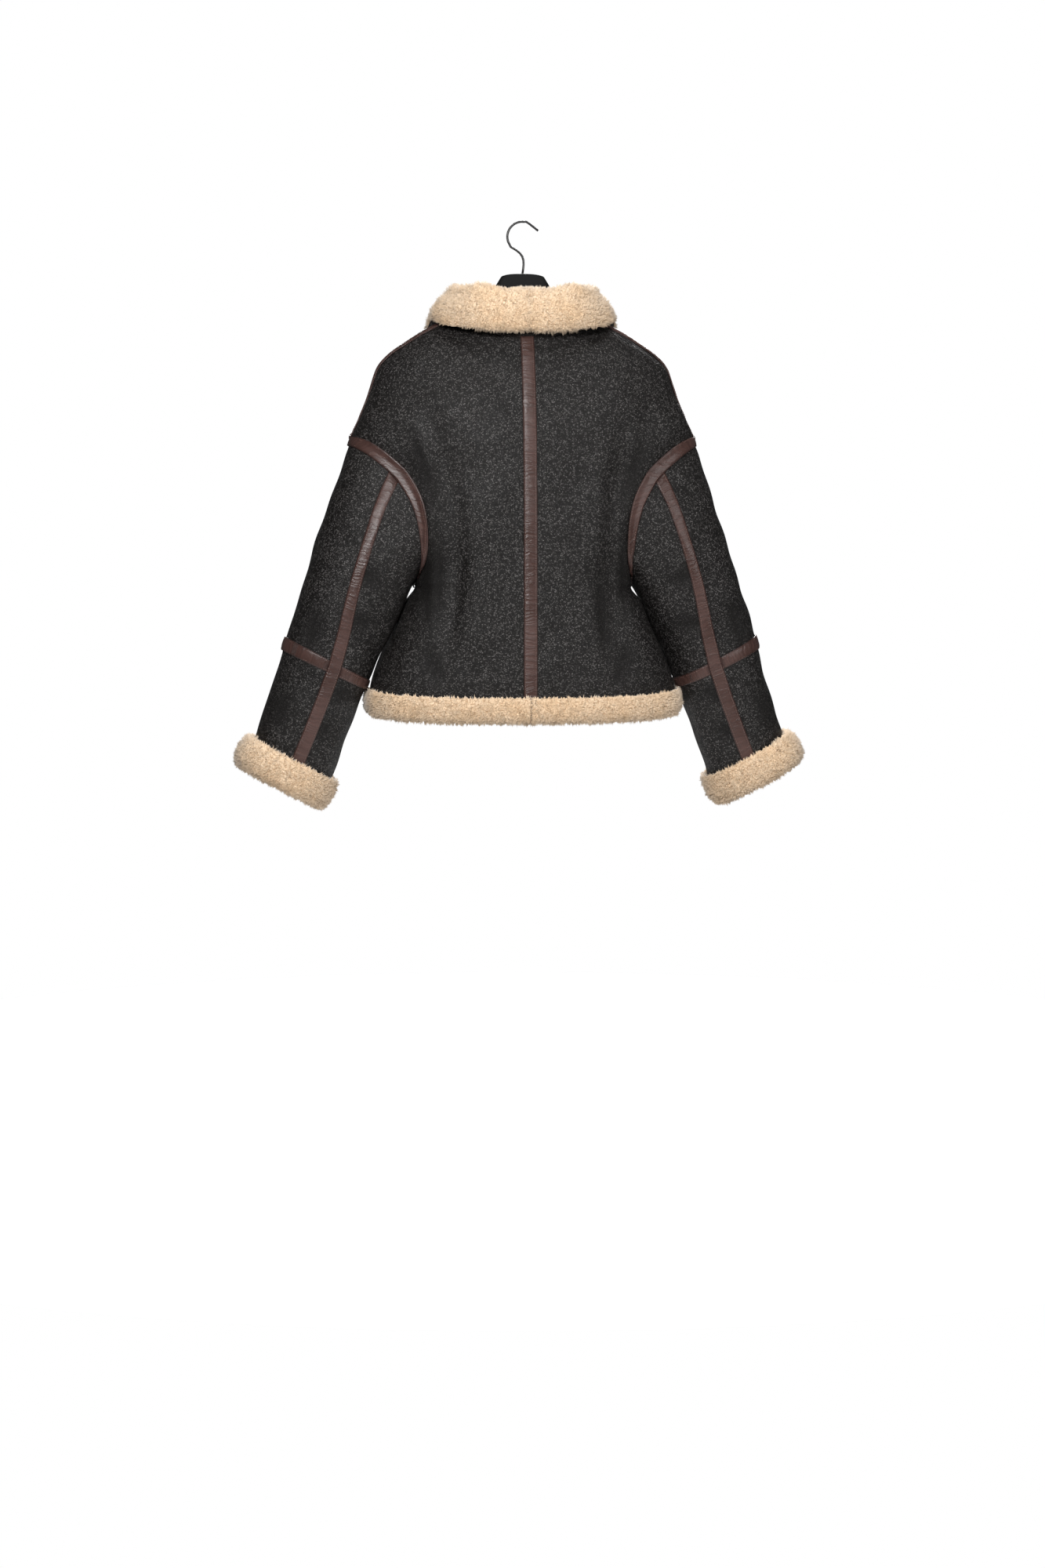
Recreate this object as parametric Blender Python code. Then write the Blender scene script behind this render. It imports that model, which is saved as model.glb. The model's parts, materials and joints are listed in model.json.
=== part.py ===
"""A cropped shearling flying jacket, hanging zipped on a broad coat hanger.

Metres, +Z up. The origin is the inside of the hook's bend, where the hook rests on its rail.
+Y is the way the wearer faces, so the back of the jacket looks along -Y, and +X is the wearer's right.
Every piece that a maker would cut has its own object. Cloth is a wall between two grids of points:
an outer grid worked out from the tables below, and an inner one set back along the skin's normals.
"""

import bpy
import bmesh
import math
from mathutils import Matrix, Vector

# Driving sizes
WALL = 0.007            # leather with its clipped wool inside
SEAM = 0.0003           # gap between neighbouring pieces
VALLEY_GAP = 0.0012     # the armhole strip lies this far off, because it bends into the armpit
VALLEY_LIMIT = 0.35     # a strip in a deep valley moves out by at most one over this
STRIP_HALF = 0.010      # half the width of a leather strip over a seam
STRIP_THICK = 0.0015
ZIP_HALF = 0.011        # half the gap between the two fronts
BACK_COLUMNS = 13       # grid columns between the strips of a back panel
FRONT_COLUMNS = 10

# The outer edge of a torso panel, from the hem up: side seam, then armhole, then shoulder ridge.
SIDE_SEAM = [  # x, z
    (0.2262, -0.6940),
    (0.2232, -0.6740),
    (0.2113, -0.6390),
    (0.1955, -0.6080),
    (0.1821, -0.5790),
    (0.1722, -0.5570),
    (0.1588, -0.5400),
]
ARMHOLE = [  # x, y, z from the shoulder point down to the underarm, on the back
    (0.2535, 0.000, -0.3213),
    (0.2470, -0.027, -0.3240),
    (0.2260, -0.051, -0.3355),
    (0.1850, -0.068, -0.3715),
    (0.1610, -0.080, -0.4130),
    (0.1515, -0.078, -0.4650),
    (0.1530, -0.054, -0.5080),
    (0.1610, 0.000, -0.5300),
]
FRONT_ARMHOLE_DEPTH = 0.94   # the front of the armhole is a little shallower
SHOULDER_RIDGE = [  # x, z from the shoulder point up to the neck
    (0.2497, -0.3120),
    (0.2419, -0.2946),
    (0.2355, -0.2784),
    (0.2291, -0.2622),
    (0.2215, -0.2380),
    (0.2150, -0.2190),
    (0.2070, -0.2070),
    (0.1930, -0.1935),
    (0.1740, -0.1805),
    (0.1467, -0.1625),
    (0.1150, -0.1455),
    (0.0985, -0.1370),
    (0.0860, -0.1305),
]
BACK_CENTRE = [  # z, y
    (-0.7060, -0.1130),
    (-0.5600, -0.1130),
    (-0.4300, -0.1110),
    (-0.3200, -0.1040),
    (-0.2500, -0.0920),
    (-0.2000, -0.0760),
    (-0.1680, -0.0620),
]
FRONT_CENTRE = [  # z, y
    (-0.7080, 0.1060),
    (-0.5600, 0.1060),
    (-0.4300, 0.1040),
    (-0.3400, 0.0980),
    (-0.2800, 0.0890),
    (-0.2350, 0.0760),
]
SQUARENESS = [  # z of the row's outer edge, exponent of its section
    (-0.6940, 2.5),
    (-0.5300, 2.9),
    (-0.4100, 2.4),
    (-0.3213, 2.3),
    (-0.1305, 2.0),
]
ROW_CENTRE = [  # z of a row's outer edge, z of the same row on the centre line, for the back
    (-0.6940, -0.7060),
    (-0.5300, -0.5300),
    (-0.3213, -0.2700),
    (-0.1305, -0.1680),
]
FRONT_DROP = [  # how far a front row's centre lies below the same row's centre on the back
    (-0.6940, 0.0020),
    (-0.5300, 0.0000),
    (-0.3213, 0.0450),
    (-0.1305, 0.0670),
]
ROW_RISE_POWER = {       # how late a row climbs or falls from its centre to its outer edge, by the edge's z
    -1: [(-0.3213, 3.0), (-0.1305, 2.2)],
    1: [(-0.3213, 3.0), (-0.1305, 1.25)],
}

# The right sleeve as the camera sees it: its outer and inner edge at each station.
SLEEVE = [  # outer x and z, inner x and z, half depth, centre y, share of the half ring at the back seam
    (0.2535, -0.3213, 0.1610, -0.5300, 0.080, 0.000, 0.344),
    (0.2709, -0.3666, 0.1740, -0.5530, 0.080, -0.001, 0.380),
    (0.2906, -0.4246, 0.1840, -0.5800, 0.076, -0.002, 0.435),
    (0.3115, -0.4900, 0.1970, -0.6080, 0.070, -0.002, 0.490),
    (0.3325, -0.5550, 0.2128, -0.6390, 0.064, 0.000, 0.530),
    (0.3525, -0.6200, 0.2305, -0.6800, 0.059, 0.004, 0.555),
    (0.3715, -0.6870, 0.2525, -0.7350, 0.057, 0.010, 0.550),
    (0.3865, -0.7350, 0.2710, -0.7880, 0.055, 0.015, 0.535),
    (0.3970, -0.7690, 0.2845, -0.8290, 0.054, 0.019, 0.520),
]
SWING = {"left": -0.014, "right": 0.012}   # the jacket hangs a little askew: one sleeve back, one forward
SWING_STATION = 3.2                         # a sleeve swings fully from this station down
ELBOW_STATION = 5
CUFF_STATION = 8
ARMHOLE_STRIP_STATION = 0.21   # where the armhole strip ends on the sleeve
ELBOW_STRIP_STATION = 0.145    # half the elbow strip, in stations
LOOP_SHARES = [0.0, 0.10, 0.205, 0.312, 0.344, 0.376, 0.50, 0.625, 0.75, 0.875, 1.0]
BACK_SEAM = 4                  # the entry of LOOP_SHARES that the sleeve's back seam is on
SLEEVE_POWER = 2.2             # exponent of the sleeve's section

# The drapes that fall from the shoulders, as soft troughs (-) and ridges (+) over a curved line.
FOLDS = [  # face, x1, z1, x2, z2, x3, z3, half width, height
    (-1, -0.190, -0.250, -0.128, -0.350, -0.104, -0.500, 0.017, -0.0060),
    (-1, -0.104, -0.470, -0.110, -0.560, -0.128, -0.655, 0.017, -0.0110),
    (-1, -0.172, -0.260, -0.143, -0.390, -0.130, -0.560, 0.016, 0.0060),
    (-1, -0.070, -0.360, -0.070, -0.520, -0.080, -0.640, 0.026, 0.0040),
    (-1, 0.196, -0.240, 0.145, -0.350, 0.117, -0.470, 0.018, -0.0070),
    (-1, 0.117, -0.450, 0.124, -0.560, 0.128, -0.660, 0.019, -0.0090),
    (-1, 0.170, -0.270, 0.148, -0.380, 0.138, -0.540, 0.013, 0.0060),
    (-1, 0.120, -0.270, 0.095, -0.400, 0.088, -0.560, 0.022, 0.0045),
    (1, -0.185, -0.260, -0.130, -0.380, -0.122, -0.560, 0.020, -0.0080),
    (1, 0.188, -0.260, 0.134, -0.370, 0.116, -0.550, 0.020, -0.0080),
    (1, -0.085, -0.420, -0.090, -0.520, -0.100, -0.640, 0.022, 0.0045),
    (1, 0.090, -0.400, 0.088, -0.520, 0.104, -0.630, 0.022, 0.0050),
]

FOLD_CLEAR = 0.05          # folds fade towards the side seams and shoulders, this far from them

# Fur edges as sections: distance past the leather's edge, distance out of its surface.
FUR_UNDER = 0.0007         # gap between the leather's edge and the fur below it
CUFF_SECTION = [
    (0.0004, 0.0040), (-0.0080, 0.0040), (-0.0115, 0.0078), (-0.0070, 0.0145),
    (0.0060, 0.0190), (0.0210, 0.0190), (0.0330, 0.0140), (0.0385, 0.0050), (0.0375, -0.0040),
    (0.0300, -0.0100), (0.0120, -0.0110),
]
CUFF_INNER_BULGE = 0.60    # the fur stands less proud towards the body
HEM_SIDE_BULGE = 0.50      # and less where the sleeves press on it
HEM_SIDE = 0.045           # as far as this from the side seam
HEM_SECTION = [
    (0.0004, 0.0024), (-0.0080, 0.0024), (-0.0100, 0.0055), (-0.0050, 0.0100),
    (0.0080, 0.0120), (0.0200, 0.0105), (0.0275, 0.0050), (0.0290, -0.0030), (0.0250, -0.0100),
    (0.0110, -0.0120),
]

# The collar from centre back (0) to centre front (1), measured from the neckline.
COLLAR = [  # share, heading from the back in degrees, rise, apex out, edge out, edge drop
    (0.00, 0, 0.060, 0.008, 0.024, 0.010),
    (0.22, 36, 0.055, 0.009, 0.029, 0.001),
    (0.42, 90, 0.026, 0.010, 0.042, -0.013),
    (0.60, 112, 0.028, 0.013, 0.055, -0.026),
    (0.80, 112, 0.024, 0.013, 0.068, -0.042),
    (1.00, 104, 0.014, 0.012, 0.080, -0.056),
]
COLLAR_STATIONS = 6        # from the centre back to the shoulder seam, and again from there to the front
COLLAR_ON_EDGE = 0.30      # share of the neckline up to which the collar stands on the edge
COLLAR_ON_FACE = 0.56      # and from which it stands on the front's face
COLLAR_FOLD = 0.0105       # radius of the roll between stand and fall
STAND_INWARD = 0.0064      # at the back the stand keeps this far inside the panels' edge
STAND_LIFT = 0.0020        # and this far above it
BAND_SHARE = 0.115        # share of the neckline along which the neck band stands up
INWARD_FADE = 0.08         # share of the neckline over which the stand then comes back out
BAND_RISE = 0.012          # the neck band stands this high behind the stand
BAND_LOW = 0.002           # where it would stand lower than this, it only lies on the panels
STAND_THICK = 0.009
FALL_THICK = 0.016
TIP_REACH, TIP_HALF = 0.38, 0.22     # shares of that: how far the rounded edge goes on, and its half width

ZIP_BOTTOM = -0.7330
ZIP_SINK = 0.004           # the tape lies this far below the leather's face
TAPE_THICK = 0.0012
TAPE_CLEAR = 0.0010        # the tape ends this far from the leather's edge
CHAIN_HALF = 0.003
CHAIN_THICK = 0.0024
SLIDER_SIZE = (0.0110, 0.0040, 0.0140)
SLIDER_BELOW_NECK = 0.030
SLIDER_CLEAR = 0.0009
PULL_PIN = 0.0010          # radius of the pin that the pull tab turns on
PULL_EYE = 0.0013
PULL_WALL = 0.0014         # material around the eye
LUG_THICK = 0.0013
LUG_HALF = 0.0022
PULL_LENGTH = 0.026
PULL_WIDTH = 0.0050
PULL_THICK = 0.0018

WIRE = 0.0017              # radius of the hook's wire
HOOK_RADIUS = 0.0225       # centre line of the hook's bend
HOOK_ARC = (227, 70)       # degrees, from the foot of the bend to its tail
HOOK_STEM_TOP = -0.0499
HOOK_TAIL = (0.0232, -0.0115)
HANGER_TOP = -0.0754
HANGER_NECK = [  # x, z of the neck's outline, from the crown down to the arm
    (0.0000, -0.0754),
    (0.0180, -0.0760),
    (0.0290, -0.0785),
    (0.0340, -0.0835),
    (0.0400, -0.0935),
    (0.0480, -0.1080),
    (0.0620, -0.1270),
    (0.0740, -0.1360),
]
HANGER_ARM_CLEAR = 0.0058
HANGER_BACK = 0.002        # the arms sit a little towards the back
HANGER_TIP_X = 0.2000
HANGER_DEPTH = 0.030       # height of the arm's section
HANGER_HALF_CENTRE = 0.011
HANGER_HALF_TIP = 0.014
HANGER_BELLY = 0.012       # the underside rises this much towards the middle
HANGER_NOSE = 0.008        # length of the rounded tip
HANGER_SIDES = 12
HANGER_POWER = 2.1

FINISHES = {  # base colour, roughness, metallic
    "black_leather": ((0.035, 0.033, 0.031), 0.42, 0.0),
    "brown_leather": ((0.095, 0.052, 0.038), 0.38, 0.0),
    "wool": ((0.72, 0.55, 0.36), 0.95, 0.0),
    "zip_tape": ((0.030, 0.028, 0.027), 0.85, 0.0),
    "zip_metal": ((0.55, 0.50, 0.42), 0.30, 1.0),
    "hanger_black": ((0.010, 0.010, 0.010), 0.55, 0.0),
    "hook_metal": ((0.060, 0.060, 0.062), 0.35, 1.0),
}


# Curves and tables

def spline(points, steps=12):
    """A smooth polyline through the points (Catmull-Rom)."""
    points = [Vector(p) for p in points]
    padded = [2 * points[0] - points[1], *points, 2 * points[-1] - points[-2]]
    line = []
    for a, b, c, d in zip(padded, padded[1:], padded[2:], padded[3:]):
        for i in range(steps):
            t = i / steps
            line.append(0.5 * (2 * b + (c - a) * t + (2 * a - 5 * b + 4 * c - d) * t * t
                               + (3 * b - a - 3 * c + d) * t ** 3))
    return line + [points[-1]]


def lengths(line):
    """How far along the polyline each of its points is."""
    total = [0.0]
    for a, b in zip(line, line[1:]):
        total.append(total[-1] + (b - a).length)
    return total


def at(line, distance):
    """The point of the polyline at a distance from its start."""
    total = lengths(line)
    for i, end in enumerate(total[1:]):
        if distance <= end or i == len(line) - 2:
            share = (distance - total[i]) / max(end - total[i], 1e-9)
            return line[i].lerp(line[i + 1], share)


def look_up(table, key):
    """A value of a two-column table, read smoothly between its rows."""
    for (k0, v0), (k1, v1) in zip(table, table[1:]):
        if key <= k1 or (k1, v1) == table[-1]:
            share = min(1.0, max(0.0, (key - k0) / (k1 - k0)))
            return v0 + (v1 - v0) * share


def mixed(table, key):
    """All the values of a table whose first column is the key, read between its rows."""
    columns = len(table[0])
    return [look_up([(row[0], row[c]) for row in table], key) for c in range(1, columns)]


def spread(start, end, count):
    """Evenly spaced numbers from start to end, both included, in count steps."""
    return [start + (end - start) * i / count for i in range(count + 1)]


# Torso

def armhole_point(share, face):
    """A point of the right armhole, from the shoulder (0) to the underarm (1). Face is -1 at the back."""
    line = spline(ARMHOLE)
    point = at(line, share * lengths(line)[-1])
    if face > 0:
        point.y *= -FRONT_ARMHOLE_DEPTH
    return point


def outer_edge(face):
    """The right torso panel's outer edge, one point a row, from the hem to the neck."""
    side = [Vector((x, 0, z)) for x, z in SIDE_SEAM]
    arm = [armhole_point(share, face) for share in reversed(LOOP_SHARES)]
    ridge = [Vector((x, 0, z)) for x, z in SHOULDER_RIDGE]
    return side + arm + ridge


UNDERARM_ROW = len(SIDE_SEAM)
SHOULDER_ROW = UNDERARM_ROW + len(LOOP_SHARES) - 1
NECK_ROW = SHOULDER_ROW + len(SHOULDER_RIDGE)


def torso_row(edge, face):
    """The dense line of one torso row, from the centre line to the outer edge."""
    centre_z = look_up(ROW_CENTRE, edge.z)
    if face > 0:
        centre_z -= look_up(FRONT_DROP, edge.z)
    depth = abs(look_up(BACK_CENTRE if face < 0 else FRONT_CENTRE, centre_z))
    power = look_up(SQUARENESS, edge.z)
    end = math.acos(min(1.0, (abs(edge.y) / depth) ** (power / 2)))
    half = edge.x / math.sin(end) ** (2 / power)
    line = []
    for i in range(97):
        angle = end * (i / 96) ** 1.3
        x = half * math.sin(angle) ** (2 / power)
        y = face * depth * max(0.0, math.cos(angle)) ** (2 / power)
        line.append(Vector((x, y, centre_z)))
    whole = lengths(line)
    rise = look_up(ROW_RISE_POWER[face], edge.z)
    for point, run in zip(line, whole):
        point.z += (edge.z - centre_z) * (run / whole[-1]) ** rise
    return line


def torso_grid(face):
    """The outer surface of the right back (-1) or right front (1): rows of points from the centre out."""
    start = 0.0 if face < 0 else ZIP_HALF
    count = BACK_COLUMNS if face < 0 else FRONT_COLUMNS
    grid = []
    for edge in outer_edge(face):
        line = torso_row(edge, face)
        end = lengths(line)[-1]
        stops = [start, *spread(start + STRIP_HALF, end - STRIP_HALF, count), end]
        grid.append([at(line, stop) for stop in stops])
    return grid


# Sleeves

def station_values(station):
    """The sleeve table read at a whole or part station."""
    return mixed([(i, *row) for i, row in enumerate(SLEEVE)], station)


def section_half(top, bottom, depth, centre_y, face):
    """Half a sleeve section as a dense line, from its outer to its inner edge."""
    middle = (top + bottom) / 2
    reach = (top - bottom) / 2
    line = []
    for i in range(65):
        angle = math.pi * i / 64
        turn = math.copysign(abs(math.cos(angle)) ** (2 / SLEEVE_POWER), math.cos(angle))
        side = math.sin(angle) ** (2 / SLEEVE_POWER)
        line.append(middle + reach * turn + Vector((0, centre_y + face * depth * side, 0)))
    return line


def sleeve_half_ring(station, face, swing):
    """The points of one sleeve ring on one face, from the outer edge (0) to the inner edge."""
    outer_x, outer_z, inner_x, inner_z, depth, centre_y, seam = station_values(station)
    centre_y += swing * min(1.0, station / SWING_STATION)
    top, bottom = Vector((outer_x, 0, outer_z)), Vector((inner_x, 0, inner_z))
    line = section_half(top, bottom, depth, centre_y, face)
    whole = lengths(line)[-1]
    before = seam * whole - STRIP_HALF
    after = seam * whole + STRIP_HALF
    beyond = len(LOOP_SHARES) - BACK_SEAM - 2
    stops = [*spread(0, before, BACK_SEAM - 1), seam * whole, *spread(after, whole, beyond)]
    first = station_values(0)
    plain = section_half(Vector((first[0], 0, first[1])), Vector((first[2], 0, first[3])), first[4], 0, face)
    fade = max(0.0, 1 - station / 3.2) ** 1.5
    ring = []
    for stop, share in zip(stops, LOOP_SHARES):
        share_now = stop / whole
        own = share + (share_now - share) * min(1.0, station / 1.0)
        offset = armhole_point(own, face) - at(plain, own * lengths(plain)[-1])
        ring.append(at(line, own * whole) + offset * fade)
    return ring


def sleeve_ring(station, swing):
    """A whole ring of a sleeve as if on the right: outer edge, back, inner edge, front, outer edge again."""
    back, front = sleeve_half_ring(station, -1, swing), sleeve_half_ring(station, 1, swing)
    return back + front[-2::-1]


UPPER_STATIONS = [0, *spread(ARMHOLE_STRIP_STATION, ELBOW_STATION - ELBOW_STRIP_STATION, 6), ELBOW_STATION]
LOWER_STATIONS = [ELBOW_STATION, *spread(ELBOW_STATION + ELBOW_STRIP_STATION, CUFF_STATION, 4)]


# Folds and normals

def fold_height(point, face):
    """How far the drapes lift the skin at a point of the torso's back or front."""
    height = 0.0
    for side, x1, z1, x2, z2, x3, z3, width, size in FOLDS:
        if side != face:
            continue
        line = spline([(x1, 0, z1), (x2, 0, z2), (x3, 0, z3)], steps=8)
        flat = Vector((point.x, 0, point.z))
        near = min(range(len(line)), key=lambda i: (line[i] - flat).length)
        along = near / (len(line) - 1)
        fade = math.sin(math.pi * min(1.0, max(0.0, 0.04 + 0.92 * along)))
        height += size * fade * math.exp(-((line[near] - flat).length / width) ** 2)
    return height * min(1.0, abs(point.y) / FOLD_CLEAR)


def key(point):
    return tuple(round(c * 1e5) for c in point)


def skin_normals(grids):
    """Smooth outward normals of all the grids as one skin, so that neighbours agree along their seam.
    With each comes how much farther than straight out a point in a valley must move to clear its sides."""
    faces = {}
    for grid, cores in grids:
        found, outward = [], 0.0
        for (low, high), core in zip(zip(grid, grid[1:]), cores):
            for a, b, c, d in zip(low, low[1:], high[1:], high):
                normal = (c - a).cross(d - b)
                outward += normal.dot((a + b + c + d) / 4 - core)
                found.append((normal.normalized(), (a, b, c, d)))
        sign = math.copysign(1.0, outward)
        for normal, corners in found:
            for before, corner, after in zip(corners[-1:] + corners[:-1], corners, corners[1:] + corners[:1]):
                angle = (before - corner).angle(after - corner)
                faces.setdefault(key(corner), []).append((sign * normal, angle))
    normals, valleys = {}, {}
    for k, around in faces.items():
        normals[k] = sum((n * angle for n, angle in around), Vector()).normalized()
        valleys[k] = 1 / max(VALLEY_LIMIT, min(normals[k].dot(n) for n, _ in around))
    return normals, valleys


def mirrored(grid):
    return [[Vector((-p.x, p.y, p.z)) for p in row] for row in grid]


# Solids

def link(name, mesh, finish):
    obj = bpy.data.objects.new(name, mesh)
    obj.data.materials.append(material(finish))
    JACKET.objects.link(obj)
    return obj


def material(finish):
    found = bpy.data.materials.get(finish)
    if found:
        return found
    colour, roughness, metallic = FINISHES[finish]
    made = bpy.data.materials.new(finish)
    made.use_nodes = True
    shader = made.node_tree.nodes["Principled BSDF"]
    shader.inputs["Base Color"].default_value = (*colour, 1)
    shader.inputs["Roughness"].default_value = roughness
    shader.inputs["Metallic"].default_value = metallic
    return made


def closed_mesh(name, bm, finish):
    """Turns the faces outwards, shades the mesh smooth and makes it an object."""
    bmesh.ops.recalc_face_normals(bm, faces=bm.faces)
    if bm.calc_volume(signed=True) < 0:
        bmesh.ops.reverse_faces(bm, faces=bm.faces)
    mesh = bpy.data.meshes.new(name)
    bm.to_mesh(mesh)
    bm.free()
    mesh.shade_smooth()
    mesh.set_sharp_from_angle(angle=math.radians(50))
    return link(name, mesh, finish)


def loft(name, sections, finish, ring=False):
    """A solid through closed sections of equally many points. A ring's last section joins its first."""
    bm = bmesh.new()
    rows = [[bm.verts.new(p) for p in section] for section in sections]
    joins = list(zip(rows, rows[1:]))
    if ring:
        joins.append((rows[-1], rows[0]))
    else:
        bm.faces.new(rows[0])
        bm.faces.new(rows[-1])
    for low, high in joins:
        for i in range(len(low)):
            j = (i + 1) % len(low)
            bm.faces.new((low[i], low[j], high[j], high[i]))
    return closed_mesh(name, bm, finish)


CREASES = set()     # diagonals that a cell must be split along, as pairs of keys


def crease(a, b):
    CREASES.add(frozenset((key(a), key(b))))


def split(corners, creased, shorter):
    """A cell's two triangles, or the one that is left where two of its corners are the same point."""
    a, b, c, d = corners
    if len(set(corners)) < 4:
        return [tuple(dict.fromkeys(corners))]
    second = creased(b, d) or (shorter and not creased(a, c))
    return [(a, b, d), (b, c, d)] if second else [(a, b, c), (a, c, d)]


def wall(name, outer, inner, finish, source, ring=False):
    """A wall between two grids. Each cell is split along the shorter diagonal of the skin it was made from,
    so that a strip and the panel under it have the same creases."""
    bm = bmesh.new()
    rows, columns = len(source), len(source[0])
    skins = []
    for grid in (outer, inner):
        made = {}
        for r in range(rows):
            for c in range(columns):
                if key(source[r][c]) not in made:
                    made[key(source[r][c])] = bm.verts.new(grid[r][c])
        skins.append(made)
    places = {key(p): p for row in source for p in row}

    def creased(a, b):
        return frozenset((a, b)) in CREASES

    for r in range(rows - 1):
        for c in range(columns if ring else columns - 1):
            d = (c + 1) % columns
            corners = [key(source[i][j]) for i, j in ((r, c), (r, d), (r + 1, d), (r + 1, c))]
            a, b, e, f = (places[k] for k in corners)
            for half in split(corners, creased, (b - f).length < (a - e).length):
                if len(half) == 3:
                    for made in skins:
                        bm.faces.new([made[k] for k in half])
    rim = [(0, c) for c in range(columns)]
    if ring:
        rims = [rim + rim[:1], [(rows - 1, c) for _, c in rim] + [(rows - 1, 0)]]
    else:
        rim += [(r, columns - 1) for r in range(1, rows)]
        rim += [(rows - 1, c) for c in range(columns - 2, -1, -1)]
        rim += [(r, 0) for r in range(rows - 2, -1, -1)]
        rims = [rim]
    for path in rims:
        for (r1, c1), (r2, c2) in zip(path, path[1:]):
            low, high = sorted((key(source[r1][c1]), key(source[r2][c2])))
            if low != high:
                bm.faces.new((skins[0][low], skins[0][high], skins[1][high]))
                bm.faces.new((skins[0][low], skins[1][high], skins[1][low]))
    return closed_mesh(name, bm, finish)


def inset(grid, ring=False):
    """The grid with its edges drawn in by half a seam gap."""
    rows = [list(row) for row in grid]
    half = SEAM / 2
    for edge, near in ((0, 1), (-1, -2)):
        rows[edge] = [p + (q - p).normalized() * half for p, q in zip(grid[edge], grid[near])]
    if not ring:
        for row in rows:
            ends = [row[0] + (row[1] - row[0]).normalized() * half,
                    row[-1] + (row[-2] - row[-1]).normalized() * half]
            row[0], row[-1] = ends
    return rows


def moved(grid, normals, distance):
    return [[p + normals[key(p)] * distance for p in row] for row in grid]


def panel(name, grid, normals, finish="black_leather"):
    wall(name, inset(grid), inset(moved(grid, normals, -WALL)), finish, grid)


def strip(name, grid, normals, finish="brown_leather", ring=False, gap=SEAM):
    """A strip that lies on panels: its grid is made of their points, moved out."""
    low = inset(moved(grid, normals, gap), ring)
    high = inset(moved(grid, normals, gap + STRIP_THICK), ring)
    wall(name, high, low, finish, grid, ring)


def make_panels_and_strips():
    """The leather of the jacket. Returns what the fur, the collar, the zip and the hanger build on."""
    skins, cores = {}, {}
    for side, name in ((1, "right"), (-1, "left")):
        for face, part in ((-1, "back"), (1, "front")):
            grid = torso_grid(face)
            skins[part, name] = grid if side > 0 else mirrored(grid)
            cores[part, name] = [Vector((0, 0, row[-1].z)) for row in grid]
        for part, stations in (("upper", UPPER_STATIONS), ("lower", LOWER_STATIONS)):
            rings = [sleeve_ring(s, SWING[name]) for s in stations]
            skins[part, name] = rings if side > 0 else mirrored(rings)
            cores[part, name] = [sum(ring, Vector()) / len(ring) for ring in skins[part, name]]
    flat, _ = skin_normals([(skins[k], cores[k]) for k in skins])
    for (part, name), grid in skins.items():
        if part in ("back", "front"):
            face = -1 if part == "back" else 1
            armhole = {key(p) for p in skins["upper", name][0]}
            for row in grid:
                for i, p in enumerate(row):
                    calm = 0.0 if key(p) in armhole else 1.0
                    row[i] = p + flat[key(p)] * fold_height(p, face) * calm
    normals, valleys = skin_normals([(skins[k], cores[k]) for k in skins])
    clear = {k: normals[k] * valleys[k] for k in normals}

    for name in ("left", "right"):
        back, front = skins["back", name], skins["front", name]
        for side in (back, front):
            crease(side[SHOULDER_ROW][-2], side[SHOULDER_ROW + 1][-1])
            crease(side[UNDERARM_ROW][-2], side[UNDERARM_ROW - 1][-1])
        panel(f"back_{name}", back, normals)
        panel(f"front_{name}", front, normals)
        seam, half_ring = BACK_SEAM, len(LOOP_SHARES) - 1
        for part in ("upper", "lower"):
            rings = [row[:-1] for row in skins[part, name]]
            around = len(rings[0])
            outer = [row[around - seam:] + row[:seam + 1] for row in rings]
            inner = [row[seam:around - seam + 1] for row in rings]
            panel(f"sleeve_{part}_outer_{name}", outer, normals)
            panel(f"sleeve_{part}_inner_{name}", inner, normals)
        ridge = [[back[r][-2], back[r][-1], front[r][-2]] for r in range(SHOULDER_ROW + 1, NECK_ROW)]
        end = [back[SHOULDER_ROW][-2], back[SHOULDER_ROW + 1][-1], front[SHOULDER_ROW][-2]]
        strip(f"shoulder_strip_{name}", [end, *ridge], clear)
        loop = skins["upper", name]
        torso_side = [back[SHOULDER_ROW + 1][-1]]
        torso_side += [back[SHOULDER_ROW - i][-2] for i in range(half_ring + 1)]
        torso_side += [back[UNDERARM_ROW - 1][-1]]
        torso_side += [front[UNDERARM_ROW + i][-2] for i in range(half_ring + 1)]
        rims = [[ring[0], *ring[:half_ring + 1], ring[half_ring], *ring[half_ring:-1], ring[0]]
                for ring in loop[:2]]
        strip(f"armhole_strip_{name}", [torso_side, *rims], clear, ring=True, gap=VALLEY_GAP)
        lengthwise = skins["upper", name][1:] + skins["lower", name][1:]
        strip(f"sleeve_strip_{name}", [row[seam - 1:seam + 2] for row in lengthwise], clear)
        elbow = [skins["upper", name][-2], skins["upper", name][-1], skins["lower", name][1]]
        strip(f"elbow_strip_{name}", [row[seam + 1:-1] + row[:seam] for row in elbow], clear)
    left, right = skins["back", "left"], skins["back", "right"]
    strip("back_strip", [[l[1], l[0], r[1]] for l, r in zip(left[:NECK_ROW], right[:NECK_ROW])], clear)
    make_neck_band(skins, clear)
    return skins, normals


def stand_inward(share):
    fade = [(BAND_SHARE, STAND_INWARD), (BAND_SHARE + INWARD_FADE, 0.0)]
    return look_up(fade, share)


def heading_out(heading):
    return Vector((math.sin(math.radians(heading)), -math.cos(math.radians(heading)), 0))


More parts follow.
